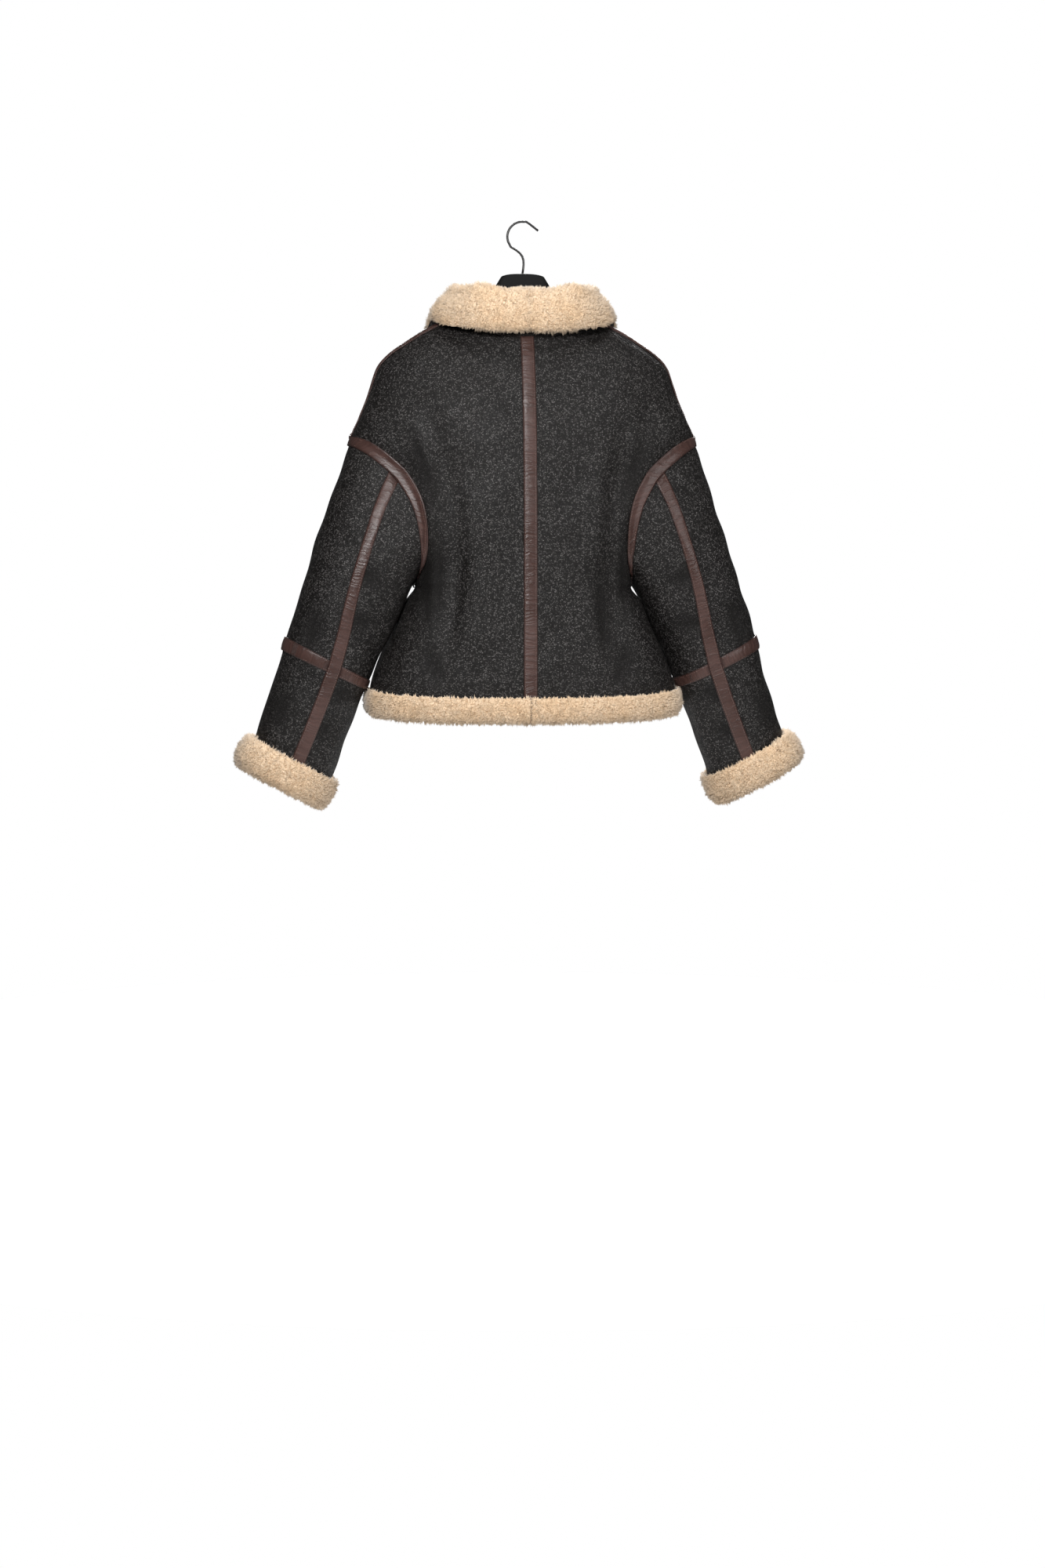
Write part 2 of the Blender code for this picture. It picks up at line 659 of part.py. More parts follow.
def make_neck_band(skins, clear):
    """The band of leather over the neckline's seam. At the back it also stands up behind the collar."""
    back, front = skins["back", "right"], skins["front", "right"]
    low, top = ([*back[r], *front[r][:-1][::-1]] for r in (NECK_ROW - 1, NECK_ROW))
    whole = lengths(top)
    half = []
    for q, p, run in zip(low, top, whole):
        share = run / whole[-1]
        rise = BAND_RISE * math.sqrt(max(0.0, 1 - share / BAND_SHARE))
        out = heading_out(mixed(COLLAR, share)[0])
        line = []
        for depth in (SEAM, SEAM + STRIP_THICK):
            foot, edge = q + clear[key(q)] * depth, p + clear[key(p)] * depth
            standing = [foot, edge, p + out * depth + Vector((0, 0, rise))]
            line.append(standing if rise > BAND_LOW else [foot, foot.lerp(edge, 0.5), edge])
        half.append(line[0] + line[1][::-1])
    loft("neck_band", mirrored(half)[:0:-1] + half, "black_leather")


# Fur edges

def fur_edge(edge, inner_edge, outs, along, section, bulges):
    """The sections of a fur edge: one for each point of the leather's edge."""
    sections = []
    for p, inner, out, bulge in zip(edge, inner_edge, outs, bulges):
        points = [p + along * down + out * (o * bulge if o > 0 else o) for down, o in section]
        sections.append([inner + along * FUR_UNDER, *points])
    return sections


def make_hem(skins, normals):
    down = Vector((0, 0, -1))
    for part in ("back", "front"):
        for name in ("left", "right"):
            skin = skins[part, name]
            edge, under = inset(skin)[0], inset(moved(skin, normals, -WALL))[0]
            outs = [Vector((normals[key(p)].x, normals[key(p)].y, 0)).normalized() for p in skin[0]]
            bulges = [look_up([(0.0, HEM_SIDE_BULGE), (HEM_SIDE, 1.0)], abs(p.y)) for p in edge]
            sections = fur_edge(edge, under, outs, down, HEM_SECTION, bulges)
            loft(f"hem_{part}_{name}", sections, "wool")


def make_cuffs(skins, normals):
    for name in ("right", "left"):
        ring = skins["lower", name][-1][:-1]
        under = moved([ring], normals, -WALL)[0]
        across = (ring[0] - ring[len(ring) // 2]).normalized()
        along = Vector((-across.z, 0, across.x))
        along = along if along.z < 0 else -along
        outs = [(normals[key(p)] - along * normals[key(p)].dot(along)).normalized() for p in ring]
        bulges = [CUFF_INNER_BULGE + (1 - CUFF_INNER_BULGE) * (1 + out.dot(across)) / 2 for out in outs]
        loft(f"cuff_{name}", fur_edge(ring, under, outs, along, CUFF_SECTION, bulges), "wool", ring=True)


# Collar

def neckline(skins, normals):
    """The right neckline from centre back to centre front. At the back the collar stands on the panels' edge,
    and towards the front it moves out onto their face."""
    back = skins["back", "right"][NECK_ROW]
    front = skins["front", "right"][NECK_ROW][::-1]
    line = back + front[1:]
    whole = lengths(line)
    raised = []
    for p, run in zip(line, whole):
        on_face = look_up([(COLLAR_ON_EDGE, 0.0), (COLLAR_ON_FACE, 1.0)], run / whole[-1])
        lift = (1 - on_face) * (SEAM * 2 + STRIP_THICK + STAND_LIFT)
        out = on_face * (SEAM * 2 + STRIP_THICK + STAND_THICK / 2) - stand_inward(run / whole[-1])
        raised.append(p + Vector((0, 0, lift)) + normals[key(p)] * out)
    return raised


def collar_section(base, values):
    """One section of the collar: stand, roll and fall, with a rounded outer edge."""
    heading, rise, apex_out, edge_out, edge_drop = values
    out = heading_out(heading)
    up = Vector((0, 0, 1))
    r = COLLAR_FOLD
    middle = [(0.0, 0.0), ((apex_out - r) * 0.5, (rise - r) * 0.5)]
    middle += [(apex_out - r * math.cos(a), rise - r + r * math.sin(a)) for a in spread(0, math.pi, 5)]
    start, end = Vector(middle[-1]), Vector((edge_out, edge_drop))
    bow = Vector((start.y - end.y, end.x - start.x)).normalized() * 0.10 * (end - start).length
    middle += [tuple(start.lerp(end, t) + bow * math.sin(math.pi * t)) for t in (0.33, 0.67)]
    middle.append(tuple(end))
    points = [Vector(p) for p in middle]
    outer, inner = [], []
    for i, p in enumerate(points):
        before, after = points[max(i - 1, 0)], points[min(i + 1, len(points) - 1)]
        run = (after - before).normalized()
        normal = Vector((-run.y, run.x))
        share = min(1.0, i / 6)
        half = (STAND_THICK + (FALL_THICK - STAND_THICK) * share) / 2
        outer.append(p + normal * half)
        inner.append(p - normal * half)
    run = (points[-1] - points[-2]).normalized()
    end = points[-1] + run * FALL_THICK * TIP_REACH
    tip = [end + Vector((-run.y, run.x)) * FALL_THICK * s for s in (TIP_HALF, -TIP_HALF)]
    return [base + out * p.x + up * p.y for p in outer + tip + inner[::-1]]


def make_collar(skins, normals):
    line = neckline(skins, normals)
    whole = lengths(line)[-1]
    side = lengths(line)[len(skins["back", "right"][NECK_ROW]) - 1] / whole
    sections = []
    for share in spread(0, side, COLLAR_STATIONS) + spread(side, 1, COLLAR_STATIONS)[1:]:
        base = at(line, share * whole)
        if share == 0:
            base = base + Vector((SEAM / 2, 0, 0))
        sections.append(collar_section(base, mixed(COLLAR, share)))
    loft("collar_right", sections, "wool")
    loft("collar_left", mirrored(sections), "wool")


# Zip

def zip_line(skins):
    """Points of the leather's face at the zip, from the neck down to below the hem."""
    line = [Vector((0, p[0].y, p[0].z)) for p in reversed(skins["front", "right"])]
    line[0].z -= SEAM
    return line + [Vector((0, line[-1].y, ZIP_BOTTOM))]


def ribbon(name, line, left, right, front, back, finish):
    """A straight-sided ribbon down the zip, between two distances behind the leather's face."""
    corners = ((left, front), (right, front), (right, back), (left, back))
    rows = [[p + Vector((x, -sink, 0)) for x, sink in corners]
            for p in line]
    loft(name, rows, finish)


def box(name, low, high, cutter=False):
    bm = bmesh.new()
    bmesh.ops.create_cube(bm, size=1)
    size = Vector(high) - Vector(low)
    bmesh.ops.scale(bm, vec=size, verts=bm.verts)
    bmesh.ops.translate(bm, vec=(Vector(low) + Vector(high)) / 2, verts=bm.verts)
    return solid_from(name, bm, cutter)


def cross_pin(name, radius, half, cutter=False):
    """A cylinder along X through the local origin."""
    bm = bmesh.new()
    bmesh.ops.create_cone(bm, cap_ends=True, segments=20, radius1=radius, radius2=radius, depth=half * 2)
    bmesh.ops.rotate(bm, matrix=Matrix.Rotation(math.pi / 2, 3, "Y"), verts=bm.verts)
    return solid_from(name, bm, cutter)


def solid_from(name, bm, cutter):
    if not cutter:
        return closed_mesh(name, bm, "zip_metal")
    mesh = bpy.data.meshes.new(name)
    bm.to_mesh(mesh)
    bm.free()
    obj = bpy.data.objects.new(name, mesh)
    CUTTERS.objects.link(obj)
    obj.hide_render = True
    obj.display_type = "WIRE"
    return obj


def combine(obj, others, operation, place):
    for other in others:
        other.matrix_world = place
        step = obj.modifiers.new(other.name, "BOOLEAN")
        step.operation, step.object, step.solver = operation, other, "EXACT"


def make_zip(skins):
    line = zip_line(skins)
    for side, name in ((1, "right"), (-1, "left")):
        edges = sorted((side * (CHAIN_HALF + SEAM), side * (ZIP_HALF - TAPE_CLEAR)))
        ribbon(f"zip_tape_{name}", line, *edges, ZIP_SINK, ZIP_SINK + TAPE_THICK, "zip_tape")
    chain_back = ZIP_SINK + (TAPE_THICK + CHAIN_THICK) / 2
    ribbon("zip_chain", line, -CHAIN_HALF, CHAIN_HALF, chain_back - CHAIN_THICK, chain_back, "zip_metal")

    pin_z = line[0].z - SLIDER_BELOW_NECK
    heights = [(p.z, p.y) for p in reversed(line)]
    below, above = look_up(heights, pin_z - PULL_LENGTH), look_up(heights, pin_z)
    tilt = math.atan2(below - above, PULL_LENGTH)
    face = chain_back - CHAIN_THICK - SLIDER_CLEAR    # how deep the slider's back lies
    width, thick, height = SLIDER_SIZE
    pin_out = thick - face + PULL_EYE + PULL_WALL + SEAM * 2
    place = Matrix.Translation((0, above + pin_out, pin_z)) @ Matrix.Rotation(tilt, 4, "X")
    back = -pin_out - face
    slider = box("zip_slider", (-width / 2, back, -height / 2), (width / 2, back + thick, height / 2))
    slider.matrix_world = place
    lug_out, lug_in = PULL_WIDTH / 2 + LUG_THICK + SEAM, PULL_WIDTH / 2 + SEAM
    parts = [box(f"slider_lug_{i}", (min(a, b), back + thick / 2, -LUG_HALF), (max(a, b), LUG_HALF, LUG_HALF),
                 True)
             for i, (a, b) in enumerate(((lug_in, lug_out), (-lug_in, -lug_out)))]
    parts.append(cross_pin("slider_pin", PULL_PIN, (lug_in + lug_out) / 2, True))
    combine(slider, parts, "UNION", place)

    pull = cross_pin("zip_pull", PULL_EYE + PULL_WALL, PULL_WIDTH / 2)
    pull.matrix_world = place
    tab = box("pull_tab", (-PULL_WIDTH * 0.45, -PULL_THICK / 2, -PULL_LENGTH),
              (PULL_WIDTH * 0.45, PULL_THICK / 2, 0), True)
    combine(pull, [tab], "UNION", place)
    combine(pull, [cross_pin("pull_eye", PULL_EYE, PULL_WIDTH, True)], "DIFFERENCE", place)


# Hanger

def hanger_top(skins, normals):
    """The hanger's upper edge as x, z: its neck, then just under the shoulders."""
    panel_side = skins["back", "right"]
    under = moved(panel_side, normals, -WALL - HANGER_ARM_CLEAR)
    arm = [under[r][-1] for r in range(NECK_ROW, SHOULDER_ROW, -1)]
    return [(x, z) for x, z in HANGER_NECK] + [(p.x, p.z) for p in arm if p.x < HANGER_TIP_X]


def make_hanger(skins, normals):
    top = hanger_top(skins, normals)
    bottom = [(x, z - HANGER_DEPTH) for x, z in top if x > HANGER_NECK[-1][0]]
    bottom = [(0.0, bottom[0][1] + HANGER_BELLY)] + bottom
    sections = []
    ends = [top[-1][0] + HANGER_NOSE * s for s in (0.55, 0.9)]
    places = [x for x, _ in top] + ends
    for x in [-p for p in places[:0:-1]] + places:
        reach = abs(x)
        high, low = look_up(top, reach), look_up(bottom, reach)
        shrink = 1.0
        if reach > top[-1][0]:
            step = (reach - top[-1][0]) / HANGER_NOSE
            slope = (top[-1][1] - top[-2][1]) / (top[-1][0] - top[-2][0])
            high, low = (z + slope * (reach - top[-1][0]) for z in (high, low))
            shrink = math.sqrt(1 - step ** 2)
        half = shrink * look_up([(0.0, HANGER_HALF_CENTRE), (HANGER_TIP_X, HANGER_HALF_TIP)], reach)
        middle, tall = (high + low) / 2, shrink * (high - low) / 2
        section = []
        for k in range(HANGER_SIDES):
            angle = 2 * math.pi * k / HANGER_SIDES
            y = math.copysign(abs(math.cos(angle)) ** (2 / HANGER_POWER), math.cos(angle))
            z = math.copysign(abs(math.sin(angle)) ** (2 / HANGER_POWER), math.sin(angle))
            towards_back = min(1.0, reach / HANGER_NECK[-1][0]) * HANGER_BACK
            section.append(Vector((x, half * y - towards_back, middle + tall * z)))
        sections.append(section)
    loft("hanger_body", sections, "hanger_black")


def make_hook():
    centre = Vector((0, 0, -(HOOK_RADIUS - WIRE)))
    start, end = (math.radians(a) for a in HOOK_ARC)
    path = [Vector((0, 0, HANGER_TOP + SEAM)), Vector((0, 0, HOOK_STEM_TOP))]
    path += [centre + HOOK_RADIUS * Vector((math.cos(a), 0, math.sin(a))) for a in spread(start, end, 14)]
    path.append(Vector((HOOK_TAIL[0], 0, HOOK_TAIL[1])))
    curve = bpy.data.curves.new("hanger_hook", "CURVE")
    curve.dimensions, curve.bevel_depth, curve.bevel_resolution, curve.use_fill_caps = "3D", WIRE, 2, True
    line = curve.splines.new("POLY")
    line.points.add(len(path) - 1)
    for point, place in zip(line.points, path):
        point.co = (*place, 1)
    link("hanger_hook", curve, "hook_metal")


def main():
    skins, normals = make_panels_and_strips()
    make_hem(skins, normals)
    make_cuffs(skins, normals)
    make_collar(skins, normals)
    make_zip(skins)
    make_hanger(skins, normals)
    make_hook()


for old in list(bpy.data.objects):
    bpy.data.objects.remove(old)
JACKET = bpy.data.collections.new("shearling_jacket")
CUTTERS = bpy.data.collections.new("cutters")
for collection in (JACKET, CUTTERS):
    bpy.context.scene.collection.children.link(collection)
main()
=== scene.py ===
# %% [markdown]
# A shearling jacket on a coat hanger.
# The jacket is sewn from leather panels with their wool left on the inside. Brown leather strips
# cover the seams, and the wool shows at the collar, the hem and the cuffs. The solid model comes
# first and fixes every size. Each soft piece is then a finer copy of its solid, so it stays in place.

# %% The frame
import bmesh
import bpy
import json
import math
import numpy as np
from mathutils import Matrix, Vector
from mathutils.bvhtree import BVHTree
from mathutils.kdtree import KDTree

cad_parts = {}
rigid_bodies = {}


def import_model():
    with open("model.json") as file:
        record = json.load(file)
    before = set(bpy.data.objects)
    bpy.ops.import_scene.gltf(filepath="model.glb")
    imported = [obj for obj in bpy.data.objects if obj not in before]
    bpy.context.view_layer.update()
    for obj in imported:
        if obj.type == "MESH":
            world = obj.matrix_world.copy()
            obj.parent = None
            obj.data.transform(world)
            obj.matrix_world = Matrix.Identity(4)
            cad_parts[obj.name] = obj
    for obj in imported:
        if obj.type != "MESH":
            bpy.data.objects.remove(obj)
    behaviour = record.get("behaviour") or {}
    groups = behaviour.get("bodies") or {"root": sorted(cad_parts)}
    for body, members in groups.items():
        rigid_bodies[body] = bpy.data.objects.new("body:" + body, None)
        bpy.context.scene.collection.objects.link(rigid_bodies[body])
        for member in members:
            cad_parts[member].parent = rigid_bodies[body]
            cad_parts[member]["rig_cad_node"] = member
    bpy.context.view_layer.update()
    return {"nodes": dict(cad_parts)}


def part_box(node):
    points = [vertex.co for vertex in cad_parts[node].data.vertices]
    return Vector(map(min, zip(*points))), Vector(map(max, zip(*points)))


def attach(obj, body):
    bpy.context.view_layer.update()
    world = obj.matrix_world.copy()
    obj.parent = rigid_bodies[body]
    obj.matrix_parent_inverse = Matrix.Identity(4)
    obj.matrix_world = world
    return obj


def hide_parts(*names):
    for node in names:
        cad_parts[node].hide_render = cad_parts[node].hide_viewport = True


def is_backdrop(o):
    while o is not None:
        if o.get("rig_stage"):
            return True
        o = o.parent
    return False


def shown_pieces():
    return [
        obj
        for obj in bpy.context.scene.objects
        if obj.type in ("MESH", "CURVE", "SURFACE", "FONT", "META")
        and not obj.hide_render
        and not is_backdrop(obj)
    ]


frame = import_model()
nodes = frame["nodes"]

# %% [markdown]
# The jacket is seen from behind, straight on, and a little from its left. The long lens keeps the
# outline flat. The camera's shift moves the jacket up in the tall frame without tilting the view.

# %% Camera
AIM = Vector((0, 0, -0.430))
VIEW_TURN = math.radians(-6)
DISTANCE = 5.0
lens = bpy.data.cameras.new("view")
lens.lens, lens.sensor_width, lens.shift_y = 77.6, 36, -0.1725
camera = bpy.data.objects.new("view", lens)
camera.location = AIM + DISTANCE * Vector((math.sin(VIEW_TURN), -math.cos(VIEW_TURN), 0))
camera.rotation_euler = (AIM - camera.location).to_track_quat("-Z", "Y").to_euler()
bpy.context.scene.collection.objects.link(camera)
bpy.context.scene.camera = camera
bpy.context.scene.view_settings.view_transform = "Standard"
print("camera at", [round(v, 3) for v in camera.location])

# %% [markdown]
# Leather shows its grain only where a lamp glances off it, so one large lamp stands high on the
# left and a weaker one fills from the right. The room is bright white behind the jacket, but it
# lights it less than that, or the dark leather would wash out at its edges.

# %% Light and floor
LAMPS = [  # name, place, size, power
    ("key", (-0.8, -3.0, 0.7), 0.9, 125),
    ("fill", (2.0, -2.2, 0.0), 1.2, 34),
    ("front", (0.4, 2.6, 0.9), 1.4, 110),
    ("top", (0.2, -0.5, 2.0), 1.0, 30),
]
for name, place, size, power in LAMPS:
    lamp = bpy.data.lights.new(name, "AREA")
    lamp.shape, lamp.size, lamp.energy = "DISK", size, power
    holder = bpy.data.objects.new(name, lamp)
    holder.location = place
    holder.rotation_euler = (AIM - holder.location).to_track_quat("-Z", "Y").to_euler()
    bpy.context.scene.collection.objects.link(holder)

room = bpy.data.worlds.new("room")
room.use_nodes = True
bpy.context.scene.world = room
sky = room.node_tree
seen = sky.nodes.new("ShaderNodeLightPath")
strength = sky.nodes.new("ShaderNodeMix")
strength.inputs["A"].default_value, strength.inputs["B"].default_value = 0.08, 1.0
sky.links.new(seen.outputs["Is Camera Ray"], strength.inputs["Factor"])
sky.nodes["Background"].inputs["Color"].default_value = (1, 1, 1, 1)
sky.links.new(strength.outputs["Result"], sky.nodes["Background"].inputs["Strength"])
print("lamps:", len(LAMPS))

# %% [markdown]
# Materials are small networks of nodes. Two short helpers keep them readable: one adds a node and
# joins or sets its inputs, and one starts a group whose inputs and outputs have names.

# %% Helpers for nodes
def put(tree, kind, inputs=(), **settings):
    """Adds one node; an input given as a socket is joined, and any other value is set."""
    made = tree.nodes.new("ShaderNode" + kind)
    for key, value in settings.items():
        setattr(made, key, value)
    for key, value in dict(inputs).items():
        if isinstance(value, bpy.types.NodeSocket):
            tree.links.new(value, made.inputs[key])
        else:
            made.inputs[key].default_value = value
    return made


def math_of(tree, operation, a, b=0.5, c=0.0):
    return put(tree, "Math", {0: a, 1: b, 2: c}, operation=operation).outputs[0]


def ramp(tree, value, low, high):
    """Nought below low, one above high, and smooth between."""
    made = put(tree, "MapRange", {"Value": value, "From Min": low, "From Max": high},
               interpolation_type="SMOOTHSTEP")
    return made.outputs["Result"]


def blend_colours(tree, factor, a, b):
    made = put(tree, "Mix", {0: factor, 6: a, 7: b}, data_type="RGBA")
    return made.outputs[2]


def start_group(name, inputs, outputs):
    tree = bpy.data.node_groups.new(name, "ShaderNodeTree")
    for label, value in inputs.items():
        kind = "NodeSocketVector" if value is None else "NodeSocketFloat"
        socket = tree.interface.new_socket(label, in_out="INPUT", socket_type=kind)
        if value is not None:
            socket.default_value = value
    for label in outputs:
        tree.interface.new_socket(label, in_out="OUTPUT", socket_type="NodeSocketFloat")
    return tree, tree.nodes.new("NodeGroupInput").outputs, tree.nodes.new("NodeGroupOutput").inputs


def colour(r, g, b):
    return (r, g, b, 1.0)


print("node helpers ready")

# %% [markdown]
# Sheepskin leather is covered with pebbles about a millimetre wide, with furrows between them.
# Cells of noise give the pebbles. Where the leather folds, longer wrinkles cross them, so a second
# noise, stretched downwards, is added. A few pebbles get painted glints, a paler colour that stands in for
# the light they catch: each cell has a colour of its own, and one output of the group picks some cells by
# it. One group makes all this, and every leather uses it.

# %% Leather grain
grain, put_in, put_out = start_group(
    "pebbled grain", {"Vector": None, "Pebble Size": 0.0014, "Wrinkle Depth": 0.5},
    ["Height", "Furrow", "Patch", "Glint"])
per_metre = math_of(grain, "DIVIDE", 1.0, put_in["Pebble Size"])
drift = put(grain, "TexNoise", {"Vector": put_in["Vector"], "Scale": 160.0, "Detail": 2.0})
bent = put(grain, "VectorMath", {0: drift.outputs["Color"], 1: (0.5, 0.5, 0.5)}, operation="SUBTRACT")
shift = put(grain, "VectorMath", {0: bent.outputs[0], "Scale": 0.0016}, operation="SCALE")
moved = put(grain, "VectorMath", {0: put_in["Vector"], 1: shift.outputs[0]}, operation="ADD")
cells = put(grain, "TexVoronoi", {"Vector": moved.outputs[0], "Scale": per_metre},
            feature="DISTANCE_TO_EDGE")
pebble = ramp(grain, cells.outputs["Distance"], 0.0, 0.32)
fine = put(grain, "TexNoise", {"Vector": put_in["Vector"], "Scale": 1500.0, "Detail": 2.0})
long = put(grain, "Mapping", {"Vector": put_in["Vector"], "Scale": (1.0, 1.0, 0.34)})
wrinkle = put(grain, "TexNoise", {"Vector": long.outputs[0], "Scale": 150.0, "Detail": 3.0,
                                  "Roughness": 0.6, "Distortion": 0.6})
patches = put(grain, "TexNoise", {"Vector": put_in["Vector"], "Scale": 14.0, "Detail": 2.0})
crinkle = math_of(grain, "MULTIPLY", wrinkle.outputs[0], put_in["Wrinkle Depth"])
height = math_of(grain, "ADD", math_of(grain, "MULTIPLY", pebble, 0.45),
                 math_of(grain, "MULTIPLY", fine.outputs[0], 0.18))
grain.links.new(math_of(grain, "ADD", height, crinkle), put_out["Height"])
grain.links.new(math_of(grain, "SUBTRACT", 1.0, pebble), put_out["Furrow"])
grain.links.new(ramp(grain, patches.outputs[0], 0.35, 0.68), put_out["Patch"])
# Painted glints: a share of the pebbles gets a paler colour that stands in for the light they catch.
chosen = put(grain, "TexVoronoi", {"Vector": moved.outputs[0], "Scale": per_metre}, feature="F1")
share = put(grain, "SeparateColor", {"Color": chosen.outputs["Color"]}).outputs[0]
grain.links.new(math_of(grain, "MULTIPLY", ramp(grain, share, 0.42, 1.0), pebble), put_out["Glint"])
print("group:", grain.name)

# %% [markdown]
# The black leather is really a very dark brown. Its pebbles carry painted glints, and painted shade darkens
# its furrows. Along each piece's edge the dye is a little worn. Down in the folds the painted glints fade
# out, which paints shade into the creases, and there the leather is rougher too. How near a point is to an
# edge is kept on the mesh in the attribute "edge", and how near it is to a fold in a second attribute, the
# mask of the painted fold shade.

# %% Black leather
def new_material(name):
    made = bpy.data.materials.new(name)
    made.use_nodes = True
    return made, made.node_tree, made.node_tree.nodes["Principled BSDF"]


def join(tree, socket, target):
    tree.links.new(socket, target)


def bump(tree, height_socket, distance, strength=1.0, normal=None):
    inputs = {"Height": height_socket, "Distance": distance, "Strength": strength}
    if normal is not None:
        inputs["Normal"] = normal
    return put(tree, "Bump", inputs).outputs[0]


black_leather, tree, shader = new_material("black_leather")
place = put(tree, "TexCoord").outputs["Object"]
skin = put(tree, "Group", node_tree=grain)
join(tree, place, skin.inputs["Vector"])
skin.inputs["Pebble Size"].default_value = 0.0017
skin.inputs["Wrinkle Depth"].default_value = 0.9
worn = put(tree, "Attribute", attribute_name="edge").outputs["Fac"]
fold_shade = put(tree, "Attribute", attribute_name="fold_shade").outputs["Fac"]
dark = blend_colours(tree, skin.outputs["Patch"], colour(0.0060, 0.0050, 0.0046),
                     colour(0.0100, 0.0088, 0.0082))
# Painted shade darkens the furrows between the pebbles.
gap_shade = blend_colours(tree, skin.outputs["Furrow"], dark, colour(0.0025, 0.0021, 0.0019))
# Painted glints on a share of the pebbles fade out in the folds, which paints shade into them.
shine = math_of(tree, "MULTIPLY", skin.outputs["Glint"], math_of(tree, "MULTIPLY_ADD", fold_shade, -0.85, 0.95))
with_glints = blend_colours(tree, shine, gap_shade, colour(0.112, 0.105, 0.102))
rubbed = math_of(tree, "MULTIPLY", worn, 0.25)
join(tree, blend_colours(tree, rubbed, with_glints, colour(0.040, 0.029, 0.023)), shader.inputs["Base Color"])
patchy = math_of(tree, "MULTIPLY_ADD", skin.outputs["Patch"], 0.08, 0.30)
rough = math_of(tree, "MULTIPLY_ADD", fold_shade, 0.20, patchy)
join(tree, math_of(tree, "MULTIPLY_ADD", skin.outputs["Furrow"], 0.25, rough), shader.inputs["Roughness"])
join(tree, bump(tree, skin.outputs["Height"], 0.00055), shader.inputs["Normal"])
shader.inputs["Specular IOR Level"].default_value = 0.17
print("material:", black_leather.name)

# %% [markdown]
# The brown strips are thin glossy leather, sewn down along both edges. Sewing gathers them, so
# fine wrinkles cross each strip. They follow the strip round its curve, so they read the
# attribute "along", the distance along the strip in metres.

# %% Brown leather
brown_leather, tree, shader = new_material("brown_leather")
place = put(tree, "TexCoord").outputs["Object"]
skin = put(tree, "Group", node_tree=grain)
join(tree, place, skin.inputs["Vector"])
skin.inputs["Pebble Size"].default_value = 0.0009
skin.inputs["Wrinkle Depth"].default_value = 0.0
along = put(tree, "Attribute", attribute_name="along").outputs["Fac"]
edge = put(tree, "Attribute", attribute_name="edge").outputs["Fac"]
wander = put(tree, "TexNoise", {"Vector": place, "Scale": 70.0, "Detail": 2.0}).outputs[0]
course = math_of(tree, "MULTIPLY_ADD", wander, 0.012, along)
gather = put(tree, "TexNoise", {"W": math_of(tree, "MULTIPLY", course, 260.0), "Scale": 1.0, "Detail": 2.0},
             noise_dimensions="1D").outputs[0]
creased = ramp(tree, gather, 0.35, 0.65)
tint = blend_colours(tree, skin.outputs["Patch"], colour(0.046, 0.024, 0.020), colour(0.064, 0.034, 0.029))
# Painted shade darkens the troughs of the gathered wrinkles.
shade = blend_colours(tree, math_of(tree, "MULTIPLY", creased, 0.35), tint, colour(0.020, 0.011, 0.0095))
join(tree, blend_colours(tree, math_of(tree, "MULTIPLY", edge, 0.55), shade, colour(0.016, 0.008, 0.007)),
     shader.inputs["Base Color"])
join(tree, math_of(tree, "MULTIPLY_ADD", skin.outputs["Patch"], 0.12, 0.27), shader.inputs["Roughness"])
first = bump(tree, gather, 0.0011, 0.8)
join(tree, bump(tree, skin.outputs["Height"], 0.00010, 1.0, first), shader.inputs["Normal"])
shader.inputs["Specular IOR Level"].default_value = 0.24
shader.inputs["Coat Weight"].default_value = 0.04
shader.inputs["Coat Roughness"].default_value = 0.25
print("material:", brown_leather.name)

# %% [markdown]
# Wool is pale at its tips, and painted shade darkens it towards the roots between the locks, where little
# light gets in. The tufts carry two attributes: "tip" runs from root to point, and "lock" differs from lock
# to lock. The wool inside the jacket is clipped short, so there it is only a bumpy surface, with painted
# shade in the hollows between its curls.

# %% Wool
def wool_material(name, pale, warm, root, clipped):
    made, tree, shader = new_material(name)
    place = put(tree, "TexCoord").outputs["Object"]
    blotch = put(tree, "TexNoise", {"Vector": place, "Scale": 22.0, "Detail": 3.0}).outputs[0]
    body = blend_colours(tree, ramp(tree, blotch, 0.38, 0.66), pale, warm)
    if clipped:
        curls = put(tree, "TexVoronoi", {"Vector": place, "Scale": 260.0}, feature="F1").outputs["Distance"]
        fuzz = put(tree, "TexNoise", {"Vector": place, "Scale": 900.0, "Detail": 3.0}).outputs[0]
        # Painted shade darkens the hollows between the curls.
        gap_shade = ramp(tree, curls, 0.25, 0.75)
        height = math_of(tree, "MULTIPLY_ADD", fuzz, 0.5, math_of(tree, "SUBTRACT", 1.0, curls))
        join(tree, bump(tree, height, 0.0022), shader.inputs["Normal"])
        join(tree, blend_colours(tree, gap_shade, body, root), shader.inputs["Base Color"])
    else:
        tip = put(tree, "Attribute", attribute_name="tip").outputs["Fac"]
        lock = put(tree, "Attribute", attribute_name="lock").outputs["Fac"]
        # Painted shade darkens the tufts towards their roots.
        light = blend_colours(tree, math_of(tree, "POWER", tip, 0.8), root, body)
        lifted = math_of(tree, "MULTIPLY_ADD", lock, 0.30, 0.85)
        scaled = put(tree, "VectorMath", {0: light, "Scale": lifted}, operation="SCALE").outputs[0]
        join(tree, scaled, shader.inputs["Base Color"])
    shader.inputs["Roughness"].default_value = 0.85
    shader.inputs["Sheen Weight"].default_value = 0.25
    shader.inputs["Specular IOR Level"].default_value = 0.25
    return made


CREAM, WARM, ROOT_SHADE = colour(0.78, 0.62, 0.45), colour(0.72, 0.54, 0.36), colour(0.42, 0.29, 0.18)
wool = wool_material("wool", CREAM, WARM, ROOT_SHADE, clipped=False)
clipped_wool = wool_material("clipped_wool", CREAM, WARM, ROOT_SHADE, clipped=True)
print("materials:", wool.name, clipped_wool.name)
